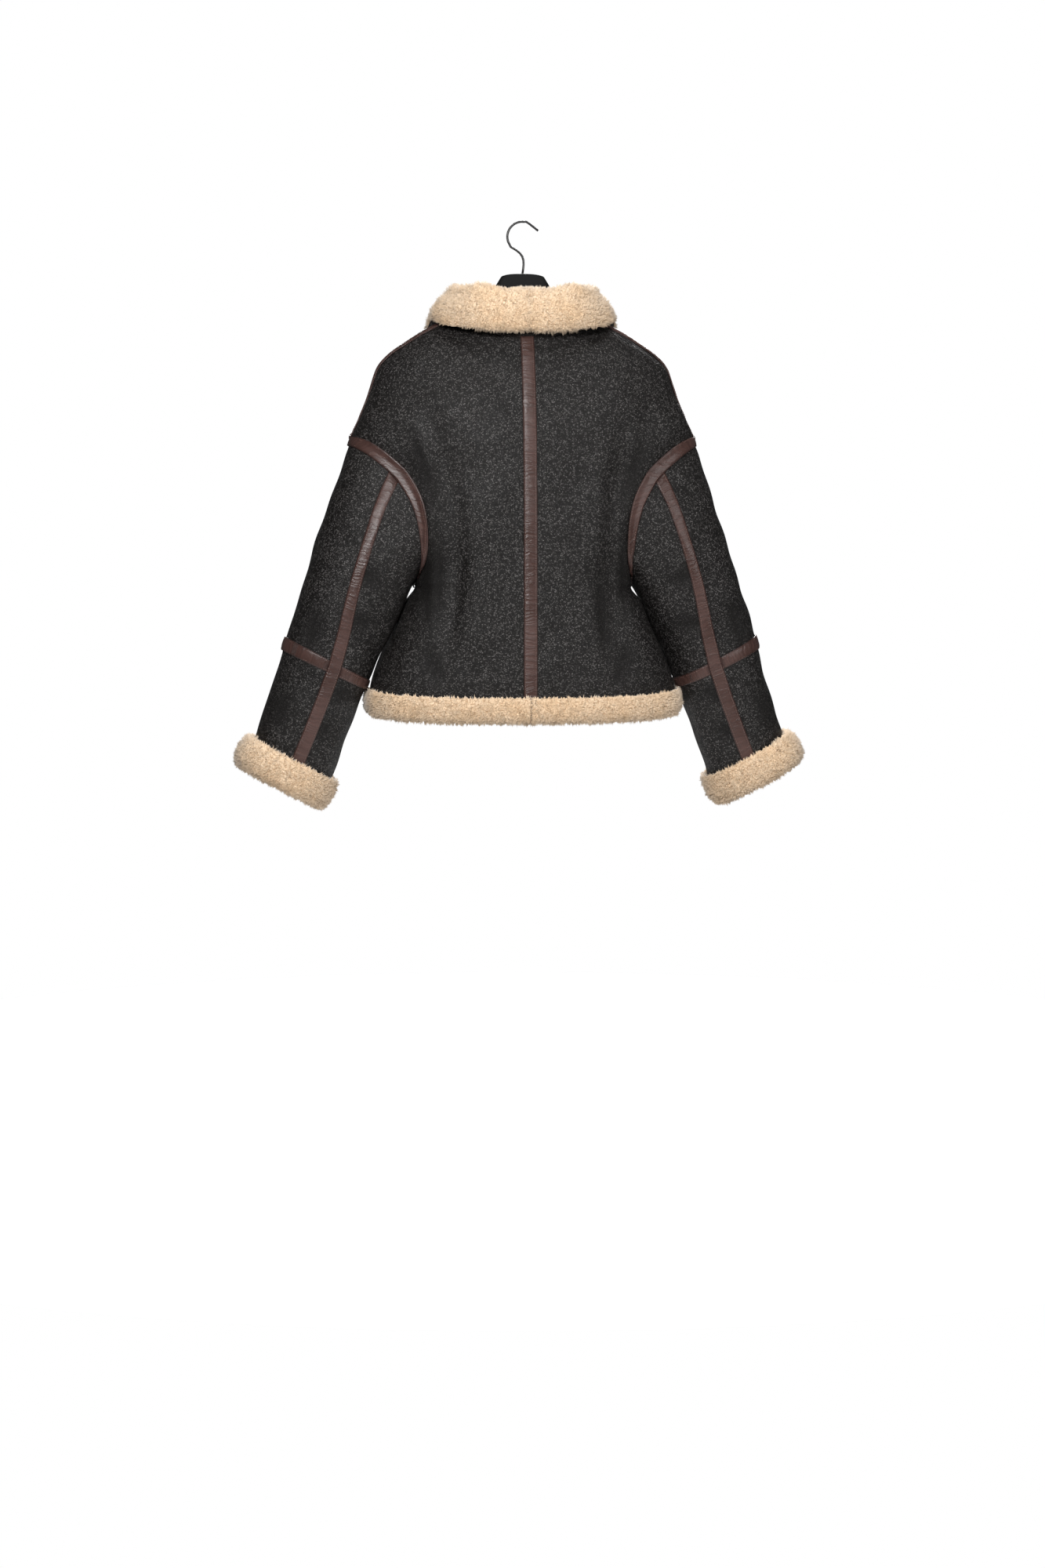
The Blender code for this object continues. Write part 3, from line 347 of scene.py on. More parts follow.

# %% [markdown]
# The rest is small: brown thread, woven tape and metal for the zip, and the hanger's black plastic with a
# steel hook. Metal and plastic are both marked by a faint mottle, finer on the metal.

# %% Small finishes
def plain_material(name, base, other, roughness, spread, scale, depth, metallic=0.0):
    """A finish whose colour and roughness both wander a little."""
    made, tree, shader = new_material(name)
    place = put(tree, "TexCoord").outputs["Object"]
    mottle = put(tree, "TexNoise", {"Vector": place, "Scale": scale, "Detail": 3.0}).outputs[0]
    mixed = blend_colours(tree, ramp(tree, mottle, 0.35, 0.65), base, other)
    join(tree, mixed, shader.inputs["Base Color"])
    join(tree, math_of(tree, "MULTIPLY_ADD", mottle, spread, roughness), shader.inputs["Roughness"])
    join(tree, bump(tree, mottle, depth), shader.inputs["Normal"])
    shader.inputs["Metallic"].default_value = metallic
    return made


thread = plain_material("thread", colour(0.11, 0.055, 0.042), colour(0.07, 0.034, 0.027),
                        0.5, 0.2, 1800, 0.0001)
dark_thread = plain_material("dark_thread", colour(0.030, 0.024, 0.021), colour(0.016, 0.013, 0.012),
                             0.5, 0.2, 1800, 0.0001)
zip_metal = plain_material("zip_metal", colour(0.42, 0.34, 0.22), colour(0.30, 0.24, 0.16),
                           0.42, 0.2, 900, 0.00003, 1.0)
hook_metal = plain_material("hook_metal", colour(0.035, 0.035, 0.035), colour(0.022, 0.022, 0.022),
                            0.3, 0.2, 700, 0.00002, 0.4)
hanger_black = plain_material("hanger_black", colour(0.003, 0.003, 0.003),
                              colour(0.005, 0.005, 0.005), 0.6, 0.2, 500, 0.00004)
hanger_black.node_tree.nodes["Principled BSDF"].inputs["Specular IOR Level"].default_value = 0.12

zip_tape, tree, shader = new_material("zip_tape")
place = put(tree, "TexCoord").outputs["Object"]
ribs = put(tree, "TexWave", {"Vector": place, "Scale": 320.0}, bands_direction="Z").outputs["Fac"]
wales = put(tree, "TexWave", {"Vector": place, "Scale": 420.0}, bands_direction="X").outputs["Fac"]
cloth = math_of(tree, "MULTIPLY", ribs, wales)
woven = blend_colours(tree, cloth, colour(0.008, 0.007, 0.007), colour(0.026, 0.023, 0.022))
join(tree, woven, shader.inputs["Base Color"])
join(tree, bump(tree, cloth, 0.0003), shader.inputs["Normal"])
shader.inputs["Roughness"].default_value = 0.8
print("small finishes ready")

# %% [markdown]
# A leather panel is a shell of one shape, with leather outside and clipped wool inside. It starts
# as a copy of its solid: the loose triangles are welded and joined to four-sided faces, the edges
# of the cut are kept sharp, and Subdivision Surface rounds the rest. Which wall faces outwards is
# found by walking over the faces up to the sharp edges, and asking whether that wall looks away
# from the middle of the body or sleeve.

# %% Copying a solid
WELD = 1e-6
PUSHES = 3
SHARP = math.radians(50)
RIM = math.radians(40)
INNER_WALL_SHARE = 0.1
SLEEVE_TOP, SLEEVE_END = Vector((0.205, 0, -0.42)), Vector((0.340, 0.012, -0.81))
LEATHER, WOOL_SIDE = 0, 1


def middle(point, sleeve):
    """The point of the torso's or a sleeve's middle line that is level with this one."""
    if not sleeve:
        return Vector((0, 0, point.z))
    side = math.copysign(1, point.x)
    top, end = (Vector((v.x * side, v.y, v.z)) for v in (SLEEVE_TOP, SLEEVE_END))
    line = end - top
    return top + line * ((point - top).dot(line) / line.length_squared)


def walls(shape):
    """The groups of faces that no sharp edge parts."""
    left, found = set(shape.faces), []
    while left:
        group, next_faces = [], [left.pop()]
        while next_faces:
            face = next_faces.pop()
            group.append(face)
            for side in face.edges:
                for other in side.link_faces:
                    if other in left and side.calc_face_angle(0) < SHARP:
                        left.discard(other)
                        next_faces.append(other)
        found.append(group)
    return found


def area_of(faces):
    return sum(face.calc_area() for face in faces)


def welded(node, sleeve=False):
    """A bmesh copy of a solid with four-sided faces, sharp cut edges and its inner wall marked."""
    shape = bmesh.new()
    shape.from_mesh(nodes[node].data)
    bmesh.ops.remove_doubles(shape, verts=shape.verts, dist=WELD)
    bmesh.ops.join_triangles(shape, faces=shape.faces, angle_face_threshold=SHARP,
                             angle_shape_threshold=math.pi)
    shape.normal_update()
    crease = shape.edges.layers.float.new("crease_edge")
    for side in shape.edges:
        side[crease] = 1.0 if side.calc_face_angle(0) >= SHARP else 0.0
    for group in walls(shape):
        centres = {f: f.calc_center_median() for f in group}
        facing = sum(f.normal.dot(at - middle(at, sleeve)) * f.calc_area() for f, at in centres.items())
        inward = facing < 0 and area_of(group) > INNER_WALL_SHARE * area_of(shape.faces)
        for face in group:
            face.smooth = True
            face.material_index = WOOL_SIDE if inward else LEATHER
    return shape


print("a solid can be copied")

# %% [markdown]
# Points are moved many at once, as arrays. Subdivision Surface rounds a shape but also shrinks it,
# and the jacket has to keep its size. So the points are pushed out, a few times over, until the
# rounded shape passes through the solid's own points.

# %% Rounding a copy
def points_of(mesh):
    found = np.empty(len(mesh.vertices) * 3)
    mesh.vertices.foreach_get("co", found)
    return found.reshape(-1, 3)


def normals_of(mesh):
    found = np.empty(len(mesh.vertices) * 3)
    mesh.vertex_normals.foreach_get("vector", found)
    return found.reshape(-1, 3)


def place_points(mesh, points):
    mesh.vertices.foreach_set("co", points.ravel())
    mesh.update()


def finished(shape, name, materials, levels):
    """Makes the object, pushes its points out and applies its Subdivision Surface."""
    mesh = bpy.data.meshes.new(name)
    shape.to_mesh(mesh)
    shape.free()
    piece = bpy.data.objects.new(name, mesh)
    bpy.context.scene.collection.objects.link(piece)
    for finish in materials:
        mesh.materials.append(finish)
    rounding = piece.modifiers.new("rounding", "SUBSURF")
    rounding.levels = rounding.render_levels = levels
    depsgraph = bpy.context.evaluated_depsgraph_get()
    wanted = points_of(mesh)
    pushed = wanted.copy()
    for _ in range(PUSHES):
        pushed += wanted - points_of(piece.evaluated_get(depsgraph).data)[:len(wanted)]
        place_points(mesh, pushed)
        depsgraph.update()
    piece.data = bpy.data.meshes.new_from_object(piece.evaluated_get(depsgraph))
    piece.modifiers.clear()
    return piece


print("a copy can be rounded")

# %% [markdown]
# Materials can read numbers that are kept on a mesh. The most useful is how far each point lies
# from the piece's cut edge: wear, seams and puckers all depend on it.

# %% Numbers on a mesh
def note(mesh, name, values):
    """Keeps one number for each point under a name that a material can read."""
    made = mesh.attributes.new(name, "FLOAT", "POINT")
    made.data.foreach_set("value", np.asarray(values, dtype=np.float32))


def edge_distance(mesh):
    """How far each point lies from the piece's cut edge."""
    shape = bmesh.new()
    shape.from_mesh(mesh)
    rim = {v.index for e in shape.edges if e.calc_face_angle(0) >= RIM for v in e.verts}
    tree = KDTree(max(1, len(rim)))
    shape.verts.ensure_lookup_table()
    for i in rim:
        tree.insert(shape.verts[i].co, i)
    tree.balance()
    far = np.array([tree.find(v.co)[2] if rim else 1.0 for v in shape.verts])
    shape.free()
    return far


def outer_points(mesh):
    """True for the points of the leather side."""
    outer = np.zeros(len(mesh.vertices), bool)
    for face in mesh.polygons:
        if face.material_index == LEATHER:
            outer[list(face.vertices)] = True
    return outer


print("numbers can be kept on a mesh")

# %% [markdown]
# The solids hold the broad folds. The hanging leather also has narrower creases beside them, and a few
# across the elbows. Each is drawn as a line of three points with its half width and depth: a minus sign
# makes a trough. They fade at both ends and towards the seams.

# %% Creases
CREASES = {  # part: face, three points as (x, z), half width, depth
    "torso": [
        (-1, -0.178, -0.300, -0.150, -0.372, -0.139, -0.440, 0.0060, -0.0022),
        (-1, -0.135, -0.440, -0.131, -0.520, -0.136, -0.610, 0.0055, -0.0028),
        (-1, -0.152, -0.470, -0.150, -0.545, -0.155, -0.600, 0.0050, -0.0022),
        (-1, -0.150, -0.610, -0.140, -0.650, -0.120, -0.675, 0.0060, -0.0020),
        (-1, -0.085, -0.420, -0.090, -0.500, -0.098, -0.580, 0.0080, 0.0018),
        (-1, -0.060, -0.585, -0.035, -0.625, -0.028, -0.660, 0.0080, 0.0014),
        (-1, 0.182, -0.300, 0.152, -0.372, 0.136, -0.430, 0.0060, -0.0022),
        (-1, 0.108, -0.330, 0.100, -0.430, 0.102, -0.520, 0.0070, 0.0018),
        (-1, 0.146, -0.430, 0.141, -0.520, 0.145, -0.600, 0.0050, -0.0026),
        (-1, 0.104, -0.500, 0.106, -0.580, 0.114, -0.650, 0.0055, -0.0022),
        (-1, 0.145, -0.615, 0.138, -0.650, 0.120, -0.680, 0.0060, -0.0018),
        (-1, 0.050, -0.600, 0.040, -0.640, 0.020, -0.670, 0.0080, 0.0013),
        (1, -0.170, -0.330, -0.150, -0.410, -0.142, -0.500, 0.0065, -0.0024),
        (1, -0.105, -0.450, -0.112, -0.540, -0.122, -0.640, 0.0060, -0.0022),
        (1, -0.060, -0.380, -0.058, -0.470, -0.066, -0.560, 0.0080, 0.0016),
        (1, 0.172, -0.320, 0.148, -0.400, 0.140, -0.500, 0.0065, -0.0024),
        (1, 0.103, -0.440, 0.108, -0.530, 0.124, -0.640, 0.0060, -0.0022),
        (1, 0.062, -0.400, 0.060, -0.480, 0.070, -0.570, 0.0080, 0.0016),
    ],
    "sleeve": [
        (-1, -0.212, -0.545, -0.232, -0.520, -0.252, -0.515, 0.0070, -0.0020),
        (-1, -0.222, -0.600, -0.245, -0.585, -0.268, -0.590, 0.0060, -0.0018),
        (-1, -0.300, -0.560, -0.315, -0.600, -0.322, -0.640, 0.0070, -0.0014),
        (-1, -0.255, -0.700, -0.275, -0.690, -0.300, -0.700, 0.0060, -0.0016),
        (-1, -0.280, -0.760, -0.300, -0.745, -0.325, -0.750, 0.0070, -0.0015),
        (-1, -0.345, -0.680, -0.358, -0.715, -0.366, -0.750, 0.0070, -0.0014),
        (-1, 0.208, -0.540, 0.230, -0.522, 0.252, -0.520, 0.0070, -0.0020),
        (-1, 0.218, -0.605, 0.242, -0.592, 0.268, -0.598, 0.0060, -0.0018),
        (-1, 0.305, -0.550, 0.316, -0.595, 0.326, -0.640, 0.0070, -0.0014),
        (-1, 0.258, -0.705, 0.280, -0.694, 0.304, -0.704, 0.0060, -0.0016),
        (-1, 0.285, -0.765, 0.305, -0.750, 0.330, -0.757, 0.0070, -0.0015),
        (-1, 0.348, -0.685, 0.360, -0.720, 0.368, -0.752, 0.0070, -0.0014),
        (1, -0.225, -0.585, -0.250, -0.560, -0.285, -0.560, 0.0080, -0.0026),
        (1, -0.235, -0.635, -0.262, -0.615, -0.300, -0.618, 0.0070, -0.0024),
        (1, -0.262, -0.705, -0.290, -0.690, -0.325, -0.700, 0.0080, -0.0022),
        (1, 0.222, -0.590, 0.252, -0.566, 0.288, -0.566, 0.0080, -0.0026),
        (1, 0.238, -0.640, 0.265, -0.620, 0.304, -0.624, 0.0070, -0.0024),
        (1, 0.262, -0.710, 0.292, -0.694, 0.328, -0.704, 0.0080, -0.0022),
    ],
}
WAVES, WAVE_HEIGHT, SEAM_FADE = 9, 0.00040, 0.016
FOLD_SHADE_REACH, CREASE_STEPS = 2.6, 25
wave_dice = np.random.default_rng(5)
WAVE_TURNS = wave_dice.normal(size=(WAVES, 3)) * (2 * math.pi / 0.11)
WAVE_STARTS = wave_dice.uniform(0, 2 * math.pi, WAVES)


def crease_heights(points, normals, part):
    """How far each point is lifted by creases and unevenness, and how near to a trough it is, which masks
    the painted fold shade.
    """
    lifted = WAVE_HEIGHT * np.sin(points @ WAVE_TURNS.T + WAVE_STARTS).sum(axis=1)
    fold_shade = np.zeros(len(points))
    steps = np.linspace(0, 1, CREASE_STEPS)[:, None]
    for face, x1, z1, x2, z2, x3, z3, half, depth in CREASES[part]:
        a, b, c = np.array((x1, z1)), np.array((x2, z2)), np.array((x3, z3))
        line = (1 - steps) ** 2 * a + 2 * steps * (1 - steps) * (2 * b - (a + c) / 2) + steps ** 2 * c
        gaps = np.linalg.norm(points[:, None, [0, 2]] - line[None], axis=2)
        nearest = gaps.argmin(axis=1)
        fade = np.sin(math.pi * np.clip(nearest / (CREASE_STEPS - 1), 0.02, 0.98)) ** 0.7
        own_side = np.clip(normals[:, 1] * face * 2.5, 0, 1)
        lifted += depth * fade * own_side * np.exp(-((gaps.min(axis=1) / half) ** 2))
        if depth < 0:
            fold_shade += fade * own_side * np.exp(-((gaps.min(axis=1) / (FOLD_SHADE_REACH * half)) ** 2))
    return lifted, np.clip(fold_shade, 0, 1)


print("creases:", {part: len(rows) for part, rows in CREASES.items()})

# %% [markdown]
# Now the twelve leather panels. Their flat sizes are what a maker would cut: width, length and area of each
# pattern piece. They hang from the hanger.

# %% Leather panels
PANELS = {  # node: part, width, length, area of the flat piece
    "back": ("torso", 0.270, 0.600, 0.134),
    "front": ("torso", 0.260, 0.600, 0.121),
    "sleeve_upper_outer": ("sleeve", 0.205, 0.420, 0.069),
    "sleeve_upper_inner": ("sleeve", 0.180, 0.360, 0.059),
    "sleeve_lower_outer": ("sleeve", 0.165, 0.210, 0.033),
    "sleeve_lower_inner": ("sleeve", 0.145, 0.205, 0.028),
}
FINE_PART = {"torso": 2, "sleeve": 3}
LEATHER_WEAR = 0.004
panels = []
for kind, (part, width, length, area) in PANELS.items():
    for side in ("left", "right"):
        node = f"{kind}_{side}"
        shape = welded(node, sleeve=part == "sleeve")
        piece = finished(shape, "leather_" + node, [black_leather, clipped_wool], FINE_PART[part])
        mesh = piece.data
        far = edge_distance(mesh)
        points, normals = points_of(mesh), normals_of(mesh)
        near_seam = np.clip(far / SEAM_FADE, 0, 1)
        held = near_seam ** 2 * (3 - 2 * near_seam) * outer_points(mesh)
        lifted, fold_shade = crease_heights(points, normals, part)
        place_points(mesh, points + normals * (lifted * held)[:, None])
        # Kept as the mask of the painted fold shade in the black leather.
        note(mesh, "fold_shade", fold_shade)
        note(mesh, "edge", np.exp(-far / LEATHER_WEAR))
        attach(piece, "jacket")
        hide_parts(node)
        panels.append(piece)
print("panels:", len(panels), "faces:", sum(len(p.data.polygons) for p in panels))

# %% [markdown]
# A strip is a thin band of leather with a soft crown, because its cut edges are turned under and
# sewn down. Its upper wall is lifted most in the middle, and dimples every few millimetres along
# the edges show where the thread pulls. The distance along the strip is measured down a straight
# one, and as an angle round a ring.

# %% Leather strips
CROWN, CROWN_REACH, STRIP_WEAR = 0.0010, 0.006, 0.0016
PUCKER, PUCKER_PITCH, PUCKER_INSET = 0.00025, 0.0047, 0.003
STRIPS = {  # node: sleeve or torso, middle of the ring or None, direction or axis, width, length
    "back_strip": (False, None, (0, 0, -1), 0.020, 0.540),
    "shoulder_strip_left": (False, None, (-0.65, 0, -0.76), 0.020, 0.245),
    "shoulder_strip_right": (False, None, (0.65, 0, -0.76), 0.020, 0.245),
    "sleeve_strip_left": (True, None, (-0.33, 0, -0.94), 0.020, 0.470),
    "sleeve_strip_right": (True, None, (0.33, 0, -0.94), 0.020, 0.470),
    "armhole_strip_left": (False, (-0.201, 0, -0.425), (0.92, 0, -0.40), 0.020, 0.520),
    "armhole_strip_right": (False, (0.201, 0, -0.425), (-0.92, 0, -0.40), 0.020, 0.520),
    "elbow_strip_left": (True, (-0.292, -0.010, -0.650), (0.38, 0, 0.92), 0.020, 0.365),
    "elbow_strip_right": (True, (0.292, 0.016, -0.650), (-0.38, 0, 0.92), 0.020, 0.365),
    "neck_band": (False, (0, 0.005, -0.180), (0, 0.3, 0.95), 0.020, 0.330),
}


def distances_along(points, centre, direction):
    """Metres along a straight strip, or round a ring at its mean radius."""
    way = Vector(direction).normalized()
    if centre is None:
        return points @ np.array(way)
    across = way.orthogonal().normalized()
    other = way.cross(across)
    spokes = points - np.array(centre)
    u, v = spokes @ np.array(across), spokes @ np.array(other)
    return np.arctan2(v, u) * np.hypot(u, v).mean()


strips = {}
for node, (sleeve, centre, direction, width, length) in STRIPS.items():
    finish = black_leather if node == "neck_band" else brown_leather
    piece = finished(welded(node, sleeve), "leather_" + node, [finish, finish], 2)
    mesh = piece.data
    far = edge_distance(mesh)
    points, normals = points_of(mesh), normals_of(mesh)
    along = distances_along(points, centre, direction)
    rise = CROWN * np.clip(far / CROWN_REACH, 0, 1) ** 0.7
    dimples = np.sin(along * 2 * math.pi / PUCKER_PITCH + 2 * np.sin(along * 90))
    rise += PUCKER * dimples * np.exp(-((far - PUCKER_INSET) / PUCKER_INSET) ** 2)
    place_points(mesh, points + normals * (rise * outer_points(mesh))[:, None])
    note(mesh, "edge", np.exp(-far / STRIP_WEAR))
    note(mesh, "along", along)
    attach(piece, "jacket")
    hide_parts(node)
    strips[node] = piece
print("strips:", len(strips), "faces:", sum(len(p.data.polygons) for p in strips.values()))

# %% [markdown]
# A row of stitches runs along both long edges of every strip. One stitch is a small bar with
# tapered ends. Copies of it are laid end to end on the strip's surface, a fixed pitch apart, and
# each row is joined into one mesh with its strip's name.

# %% Copies of a small shape
def template(make, *scale):
    """The mesh of one small shape, as arrays: its points and its faces."""
    shape = bmesh.new()
    make(shape)
    bmesh.ops.scale(shape, verts=shape.verts, vec=scale)
    bmesh.ops.triangulate(shape, faces=shape.faces)
    points = np.array([v.co[:] for v in shape.verts])
    faces = np.array([[v.index for v in f.verts] for f in shape.faces])
    shape.free()
    return points, faces


def copies(name, shape, places, x_axes, y_axes, z_axes, material):
    """One mesh with a copy of the shape at each place, turned and sized by its three axes."""
    points, faces = shape
    count = len(places)
    spread = (points[None, :, 0, None] * x_axes[:, None] + points[None, :, 1, None] * y_axes[:, None]
              + points[None, :, 2, None] * z_axes[:, None] + places[:, None])
    corners = (faces[None] + (np.arange(count) * len(points))[:, None, None]).reshape(-1)
    mesh = bpy.data.meshes.new(name)
    mesh.vertices.add(count * len(points))
    mesh.loops.add(len(corners))
    mesh.polygons.add(len(corners) // 3)
    mesh.vertices.foreach_set("co", spread.ravel())
    mesh.loops.foreach_set("vertex_index", corners)
    mesh.polygons.foreach_set("loop_start", np.arange(0, len(corners), 3))
    mesh.update(calc_edges=True)
    mesh.validate()
    mesh.shade_smooth()
    mesh.materials.append(material)
    piece = bpy.data.objects.new(name, mesh)
    bpy.context.scene.collection.objects.link(piece)
    return piece


def unit(rows):
    return rows / np.maximum(np.linalg.norm(rows, axis=1, keepdims=True), 1e-12)


def tapered_bar(shape):
    bmesh.ops.create_cube(shape, size=1.0)
    ends = [v for v in shape.verts if v.co.z > 0]
    bmesh.ops.scale(shape, verts=ends, vec=(0.72, 0.6, 1))


STITCH = template(tapered_bar, 0.0027, 0.0008, 0.0005)
print("stitch faces:", len(STITCH[1]))

# %% Stitching
STITCH_PITCH, STITCH_INSET, STITCH_LIFT = 0.0036, 0.0024, 0.00015


def rows_of_edge(node, sleeve):
    """The long edges of a strip's upper wall, as closed loops of points with the way inwards."""
    shape = welded(node, sleeve)
    walls_found = [g for g in walls(shape) if g[0].material_index == LEATHER]
    upper = set(max(walls_found, key=area_of))
    rim = {e: next(f for f in e.link_faces if f in upper) for e in shape.edges
           if sum(f in upper for f in e.link_faces) == 1}
    loops = []
    while rim:
        start, face = next(iter(rim.items()))
        point, loop = start.verts[0], []
        while start is not None:
            face = rim.pop(start)
            other = start.other_vert(point)
            tangent = (other.co - point.co).normalized()
            inward = face.normal.cross(tangent)
            if inward.dot(face.calc_center_median() - point.co) < 0:
                inward.negate()
            loop.append((point.co.copy(), other.co.copy(), inward.normalized()))
            point = other
            start = next((e for e in point.link_edges if e in rim), None)
        loops.append(loop)
    shape.free()
    return loops


for node, (sleeve, centre, direction, width, length) in STRIPS.items():
    surface = BVHTree.FromObject(strips[node], bpy.context.evaluated_depsgraph_get())
    spots, ways, ups = [], [], []
    for loop in rows_of_edge(node, sleeve):
        spare = 0.0
        for a, b, inward in loop:
            span = (b - a).length
            step = (b - a).normalized()
            ends = distances_along(np.array([a[:], b[:]]), centre, direction)
            is_long = abs(ends[1] - ends[0]) > 0.5 * span
            while spare < span:
                found = surface.find_nearest(a + step * spare + inward * STITCH_INSET)
                if is_long and found[0] is not None:
                    spots.append(found[0] + found[1] * STITCH_LIFT)
                    ways.append(step)
                    ups.append(found[1])
                spare += STITCH_PITCH
            spare -= span
    up, way = np.array(ups), np.array(ways)
    way = unit(way - up * (way * up).sum(axis=1, keepdims=True))
    sewn = copies("stitches_" + node, STITCH, np.array(spots), way, np.cross(up, way), up,
                  dark_thread if node == "neck_band" else thread)
    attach(sewn, "jacket")

# %% [markdown]
# Shearling shows its wool at the collar, hem and cuffs. Real wool is thousands of curled hairs in
# locks a few millimetres wide. Hair curves would be lost in an export, so each piece is a soft
# rounded body, a little smaller than its solid, with short pointed tufts standing on it. The tufts
# of one lock lean together, which leaves the dark gaps between the locks.

# %% Wool bodies
FUR_PIECES = {  # node: width, length, area of the flat piece
    "collar_left": (0.270, 0.160, 0.042), "collar_right": (0.270, 0.160, 0.042),
    "hem_back_left": (0.245, 0.062, 0.0150), "hem_back_right": (0.245, 0.062, 0.0150),
    "hem_front_left": (0.235, 0.062, 0.0143), "hem_front_right": (0.235, 0.062, 0.0143),
    "cuff_left": (0.330, 0.076, 0.0250), "cuff_right": (0.330, 0.076, 0.0250),
}
WOOL_SINK, UNDERSIDE_REACH, WOOL_SHARP = 0.0022, 0.030, math.radians(60)
leather_tree = []
for piece in panels + [strips["neck_band"]]:
    leather_tree.append(BVHTree.FromObject(piece, bpy.context.evaluated_depsgraph_get()))


def blocked(point, normal, reach):
    """True where leather lies close in front of this point."""
    return any(t.ray_cast(point + normal * 0.0004, normal, reach)[0] is not None for t in leather_tree)


bodies = {}
for node in FUR_PIECES:
    shape = bmesh.new()
    shape.from_mesh(nodes[node].data)
    bmesh.ops.remove_doubles(shape, verts=shape.verts, dist=WELD)
    bmesh.ops.join_triangles(shape, faces=shape.faces, angle_face_threshold=WOOL_SHARP,
                             angle_shape_threshold=math.pi)
    shape.normal_update()
    collar = node.startswith("collar")
    for face in shape.faces:
        hidden = collar and blocked(face.calc_center_median(), face.normal, UNDERSIDE_REACH)
        face.smooth = True
        face.material_index = 1 if hidden else 0
    shape.verts.ensure_lookup_table()
    inward = {v: v.normal.copy() for v in shape.verts}
    for v in shape.verts:
        v.co -= inward[v] * (WOOL_SINK if not any(f.material_index for f in v.link_faces) else 0.0)
    levels = 2 if node.startswith("hem") else 1
    bodies[node] = finished(shape, "wool_" + node, [clipped_wool, black_leather], levels)
    note(bodies[node].data, "edge", np.zeros(len(bodies[node].data.vertices)))
    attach(bodies[node], "jacket")
    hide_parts(node)
print("wool bodies:", len(bodies), "faces:", sum(len(b.data.polygons) for b in bodies.values()))

# %% [markdown]
# A tuft is a tiny cone of three faces, so that many thousands stay light. Roots are scattered
# evenly over the wool side. Some roots are chosen as the middles of locks, and every other tuft
# leans towards the nearest of them. The tufts are shaded mostly like the body that they stand on,
# which makes them look soft instead of spiky.

# %% Tufts
TUFT_LENGTH, TUFT_HALF, TUFTS_PER_MM2, LOCK_SIZE = 0.0044, 0.00076, 0.56, 0.0044
LOCK_PULL, LOCK_LEAN, STRAY = 0.50, 0.0010, 0.0007


def three_faced_cone(shape):
    bmesh.ops.create_cone(shape, segments=3, radius1=1, radius2=0, depth=1, cap_ends=False)


TUFT = template(three_faced_cone, 1, 1, 1)


def tufts_on(body, name, seed):
    """Short tufts scattered over the wool side of a body, leaning together in locks."""
    dice = np.random.default_rng(seed)
    mesh = body.data
    mesh.calc_loop_triangles()
    corners = np.empty(len(mesh.loop_triangles) * 3, int)
    mesh.loop_triangles.foreach_get("vertices", corners)
    finish = np.empty(len(mesh.loop_triangles), int)
    mesh.loop_triangles.foreach_get("material_index", finish)
    corners = corners.reshape(-1, 3)[finish == 0]
    points, normals = points_of(mesh), normals_of(mesh)
    a, b, c = (points[corners[:, i]] for i in range(3))
    areas = np.linalg.norm(np.cross(b - a, c - a), axis=1) / 2
    count = int(areas.sum() * 1e6 * TUFTS_PER_MM2)
    pick = dice.choice(len(corners), count, p=areas / areas.sum())
    u, v = dice.random(count), dice.random(count)
    over = u + v > 1
    u[over], v[over] = 1 - u[over], 1 - v[over]
    shares = np.stack((1 - u - v, u, v), axis=1)[:, :, None]
    roots = (points[corners[pick]] * shares).sum(axis=1)
    ups = unit((normals[corners[pick]] * shares).sum(axis=1))
    free = np.array([not blocked(Vector(r), Vector(n), TUFT_LENGTH * 0.8) for r, n in zip(roots, ups)])
    roots, ups = roots[free], ups[free]
    count = len(roots)
    lock_count = max(1, int(areas.sum() / LOCK_SIZE ** 2))
    locks = KDTree(lock_count)
    chosen = dice.choice(count, lock_count, replace=False)
    for k, i in enumerate(chosen):
        locks.insert(roots[i], k)
    locks.balance()
    own = np.array([locks.find(r)[1] for r in roots])
    centres = roots[chosen][own]
    shades = dice.random(len(chosen))
    lean = dice.normal(size=(len(chosen), 3))[own] * LOCK_LEAN
    tips = (roots + ups * (TUFT_LENGTH * dice.uniform(0.72, 1.12, count))[:, None]
            + (centres - roots) * LOCK_PULL + lean + dice.normal(size=(count, 3)) * STRAY)
    z_axes = tips - roots
    way = unit(np.cross(z_axes, dice.normal(size=(count, 3))))
    x_axes = way * TUFT_HALF * dice.uniform(0.8, 1.3, count)[:, None]
    y_axes = np.cross(unit(z_axes), x_axes)
    middle_of = roots + z_axes * 0.5
    made = copies(name, TUFT, middle_of, x_axes, y_axes, z_axes, wool)
    per = len(TUFT[0])
    at_tip = TUFT[0][:, 2] > 0
    note(made.data, "tip", np.tile(at_tip, count))
    note(made.data, "lock", np.repeat(0.5 * shades[own] + 0.5 * dice.random(count), per))
    around = (TUFT[0][None, :, 0, None] * unit(x_axes)[:, None]
              + TUFT[0][None, :, 1, None] * unit(y_axes)[:, None])
    soft = np.repeat(ups[:, None], per, axis=1) + around * 0.45 + unit(z_axes)[:, None] * 0.35
    soft = unit(soft.reshape(-1, 3))
    made.data.normals_split_custom_set_from_vertices(soft)
    return made


tufts = {}
for seed, (node, (width, length, area)) in enumerate(FUR_PIECES.items()):
    tufts[node] = tufts_on(bodies[node], "tufts_" + node, seed + 11)
    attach(tufts[node], "jacket")
print("tufts:", sum(len(t.data.polygons) for t in tufts.values()) // 3)

# %% [markdown]
# The zip runs down the front. Its two woven tapes are copies of their solids, and two rows of
# metal teeth stand where the solid has one closed chain. Each tooth is a small bar with rounded
# edges, and the rows are half a pitch apart, so that they mesh.

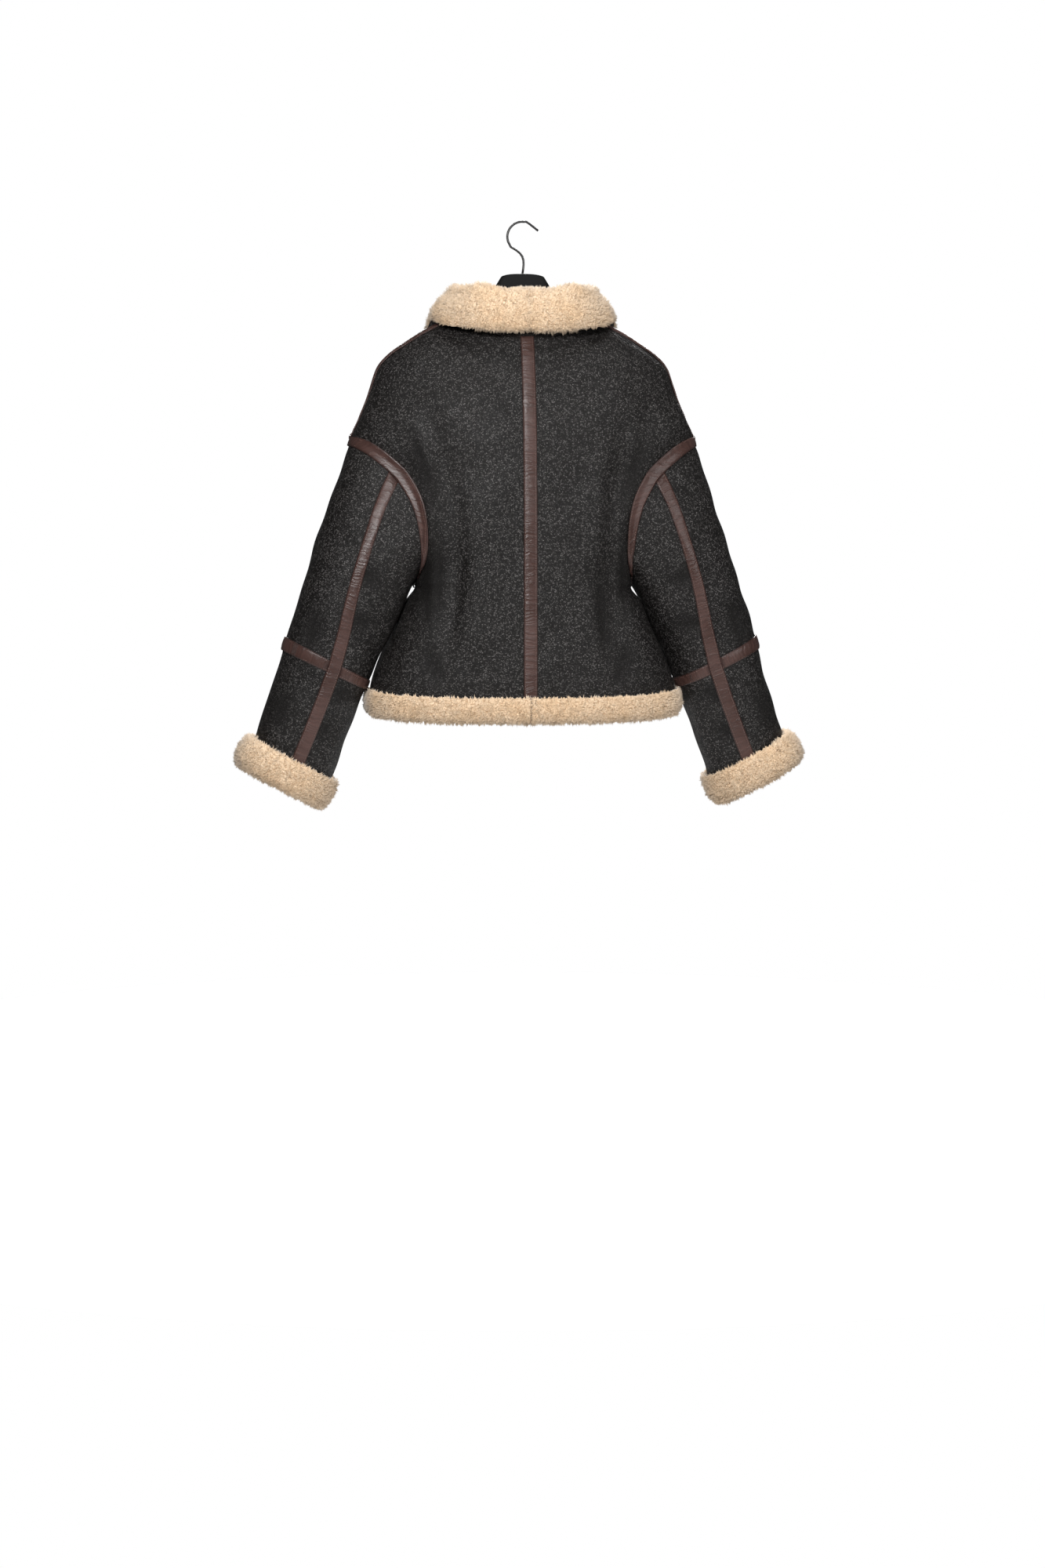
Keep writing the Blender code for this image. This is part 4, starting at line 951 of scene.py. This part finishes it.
# %% Zip
TOOTH_PITCH, TOOTH, TOOTH_ROUNDING = 0.0026, (0.0036, 0.0022, 0.0012), 0.00035
TOOTH_SIDE, TOOTH_SINK, CHAIN_END = 0.0011, 0.0008, 0.002
for side in ("left", "right"):
    node = "zip_tape_" + side
    tape = finished(welded(node), "woven_" + node, [zip_tape, zip_tape], 2)
    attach(tape, "jacket")
    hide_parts(node)


def tooth_bar(shape):
    bmesh.ops.create_cube(shape, size=1.0)
    bmesh.ops.scale(shape, verts=shape.verts, vec=TOOTH)
    bmesh.ops.bevel(shape, geom=shape.edges, offset=TOOTH_ROUNDING, affect="EDGES", segments=1,
                    profile=0.5, material=-1)


chain = nodes["zip_chain"]
chain_tree = BVHTree.FromPolygons([v.co for v in chain.data.vertices],
                                  [p.vertices for p in chain.data.polygons])
low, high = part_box("zip_chain")
slider_low, slider_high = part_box("zip_slider")
spots, ups = [], []
z = low.z + CHAIN_END
row = 0
while z < high.z - CHAIN_END:
    x = TOOTH_SIDE * (1 if row % 2 else -1)
    hit = chain_tree.ray_cast(Vector((0, 0.5, z)), Vector((0, -1, 0)))
    if hit[0] is not None and not slider_low.z < z < slider_high.z:
        spots.append((x, hit[0].y - TOOTH_SINK, z))
        ups.append(hit[1])
    z += TOOTH_PITCH / 2
    row += 1
up = unit(np.array(ups))
way = np.tile((1.0, 0.0, 0.0), (len(spots), 1))
teeth = copies("zip_teeth", template(tooth_bar, 1, 1, 1), np.array(spots), way, up,
               np.cross(way, up), zip_metal)
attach(teeth, "jacket")
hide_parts("zip_chain")
for node in ("zip_slider", "zip_pull"):
    nodes[node].data.materials.clear()
    nodes[node].data.materials.append(zip_metal)
print("teeth:", len(spots))

# %% [markdown]
# The hanger has a moulded black body with a steel hook. Both are smooth, so each is a copy of its
# solid with one more rounding, which turns its flat facets into a curve.

# %% Hanger
HANGER_PARTS = {"hanger_body": ("hanger_black", hanger_black), "hanger_hook": ("hook_metal", hook_metal)}
for node, (slot, finish) in HANGER_PARTS.items():
    made = finished(welded(node), "smooth_" + node, [finish, finish], 2)
    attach(made, "jacket")
    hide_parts(node)

# %% [markdown]
# The floor is a plain pale disc well below the jacket. It is part of the stage, not of the jacket.

# %% Floor
FLOOR_LEVEL, FLOOR_RADIUS = -1.30, 1.4
ground = bmesh.new()
bmesh.ops.create_circle(ground, cap_ends=True, segments=96, radius=FLOOR_RADIUS)
bmesh.ops.translate(ground, verts=ground.verts, vec=(0, 0, FLOOR_LEVEL))
floor_mesh = bpy.data.meshes.new("floor")
ground.to_mesh(floor_mesh)
ground.free()
pale, tree, shader = new_material("pale_floor")
place = put(tree, "TexCoord").outputs["Object"]
haze = put(tree, "TexNoise", {"Vector": place, "Scale": 3.0}).outputs[0]
plain = blend_colours(tree, haze, colour(0.88, 0.88, 0.88), colour(0.92, 0.92, 0.92))
join(tree, plain, shader.inputs["Base Color"])
shader.inputs["Roughness"].default_value = 0.9
floor_mesh.materials.append(pale)
floor = bpy.data.objects.new("floor", floor_mesh)
bpy.context.scene.collection.objects.link(floor)
floor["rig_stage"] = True
print("floor at", FLOOR_LEVEL)

# %% [markdown]
# At the end the script counts the triangles that it added.

# %% Triangles added
added = sum(sum(len(f.vertices) - 2 for f in o.data.polygons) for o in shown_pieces()
            if o.type == "MESH" and "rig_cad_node" not in o)
print("triangles added:", added)
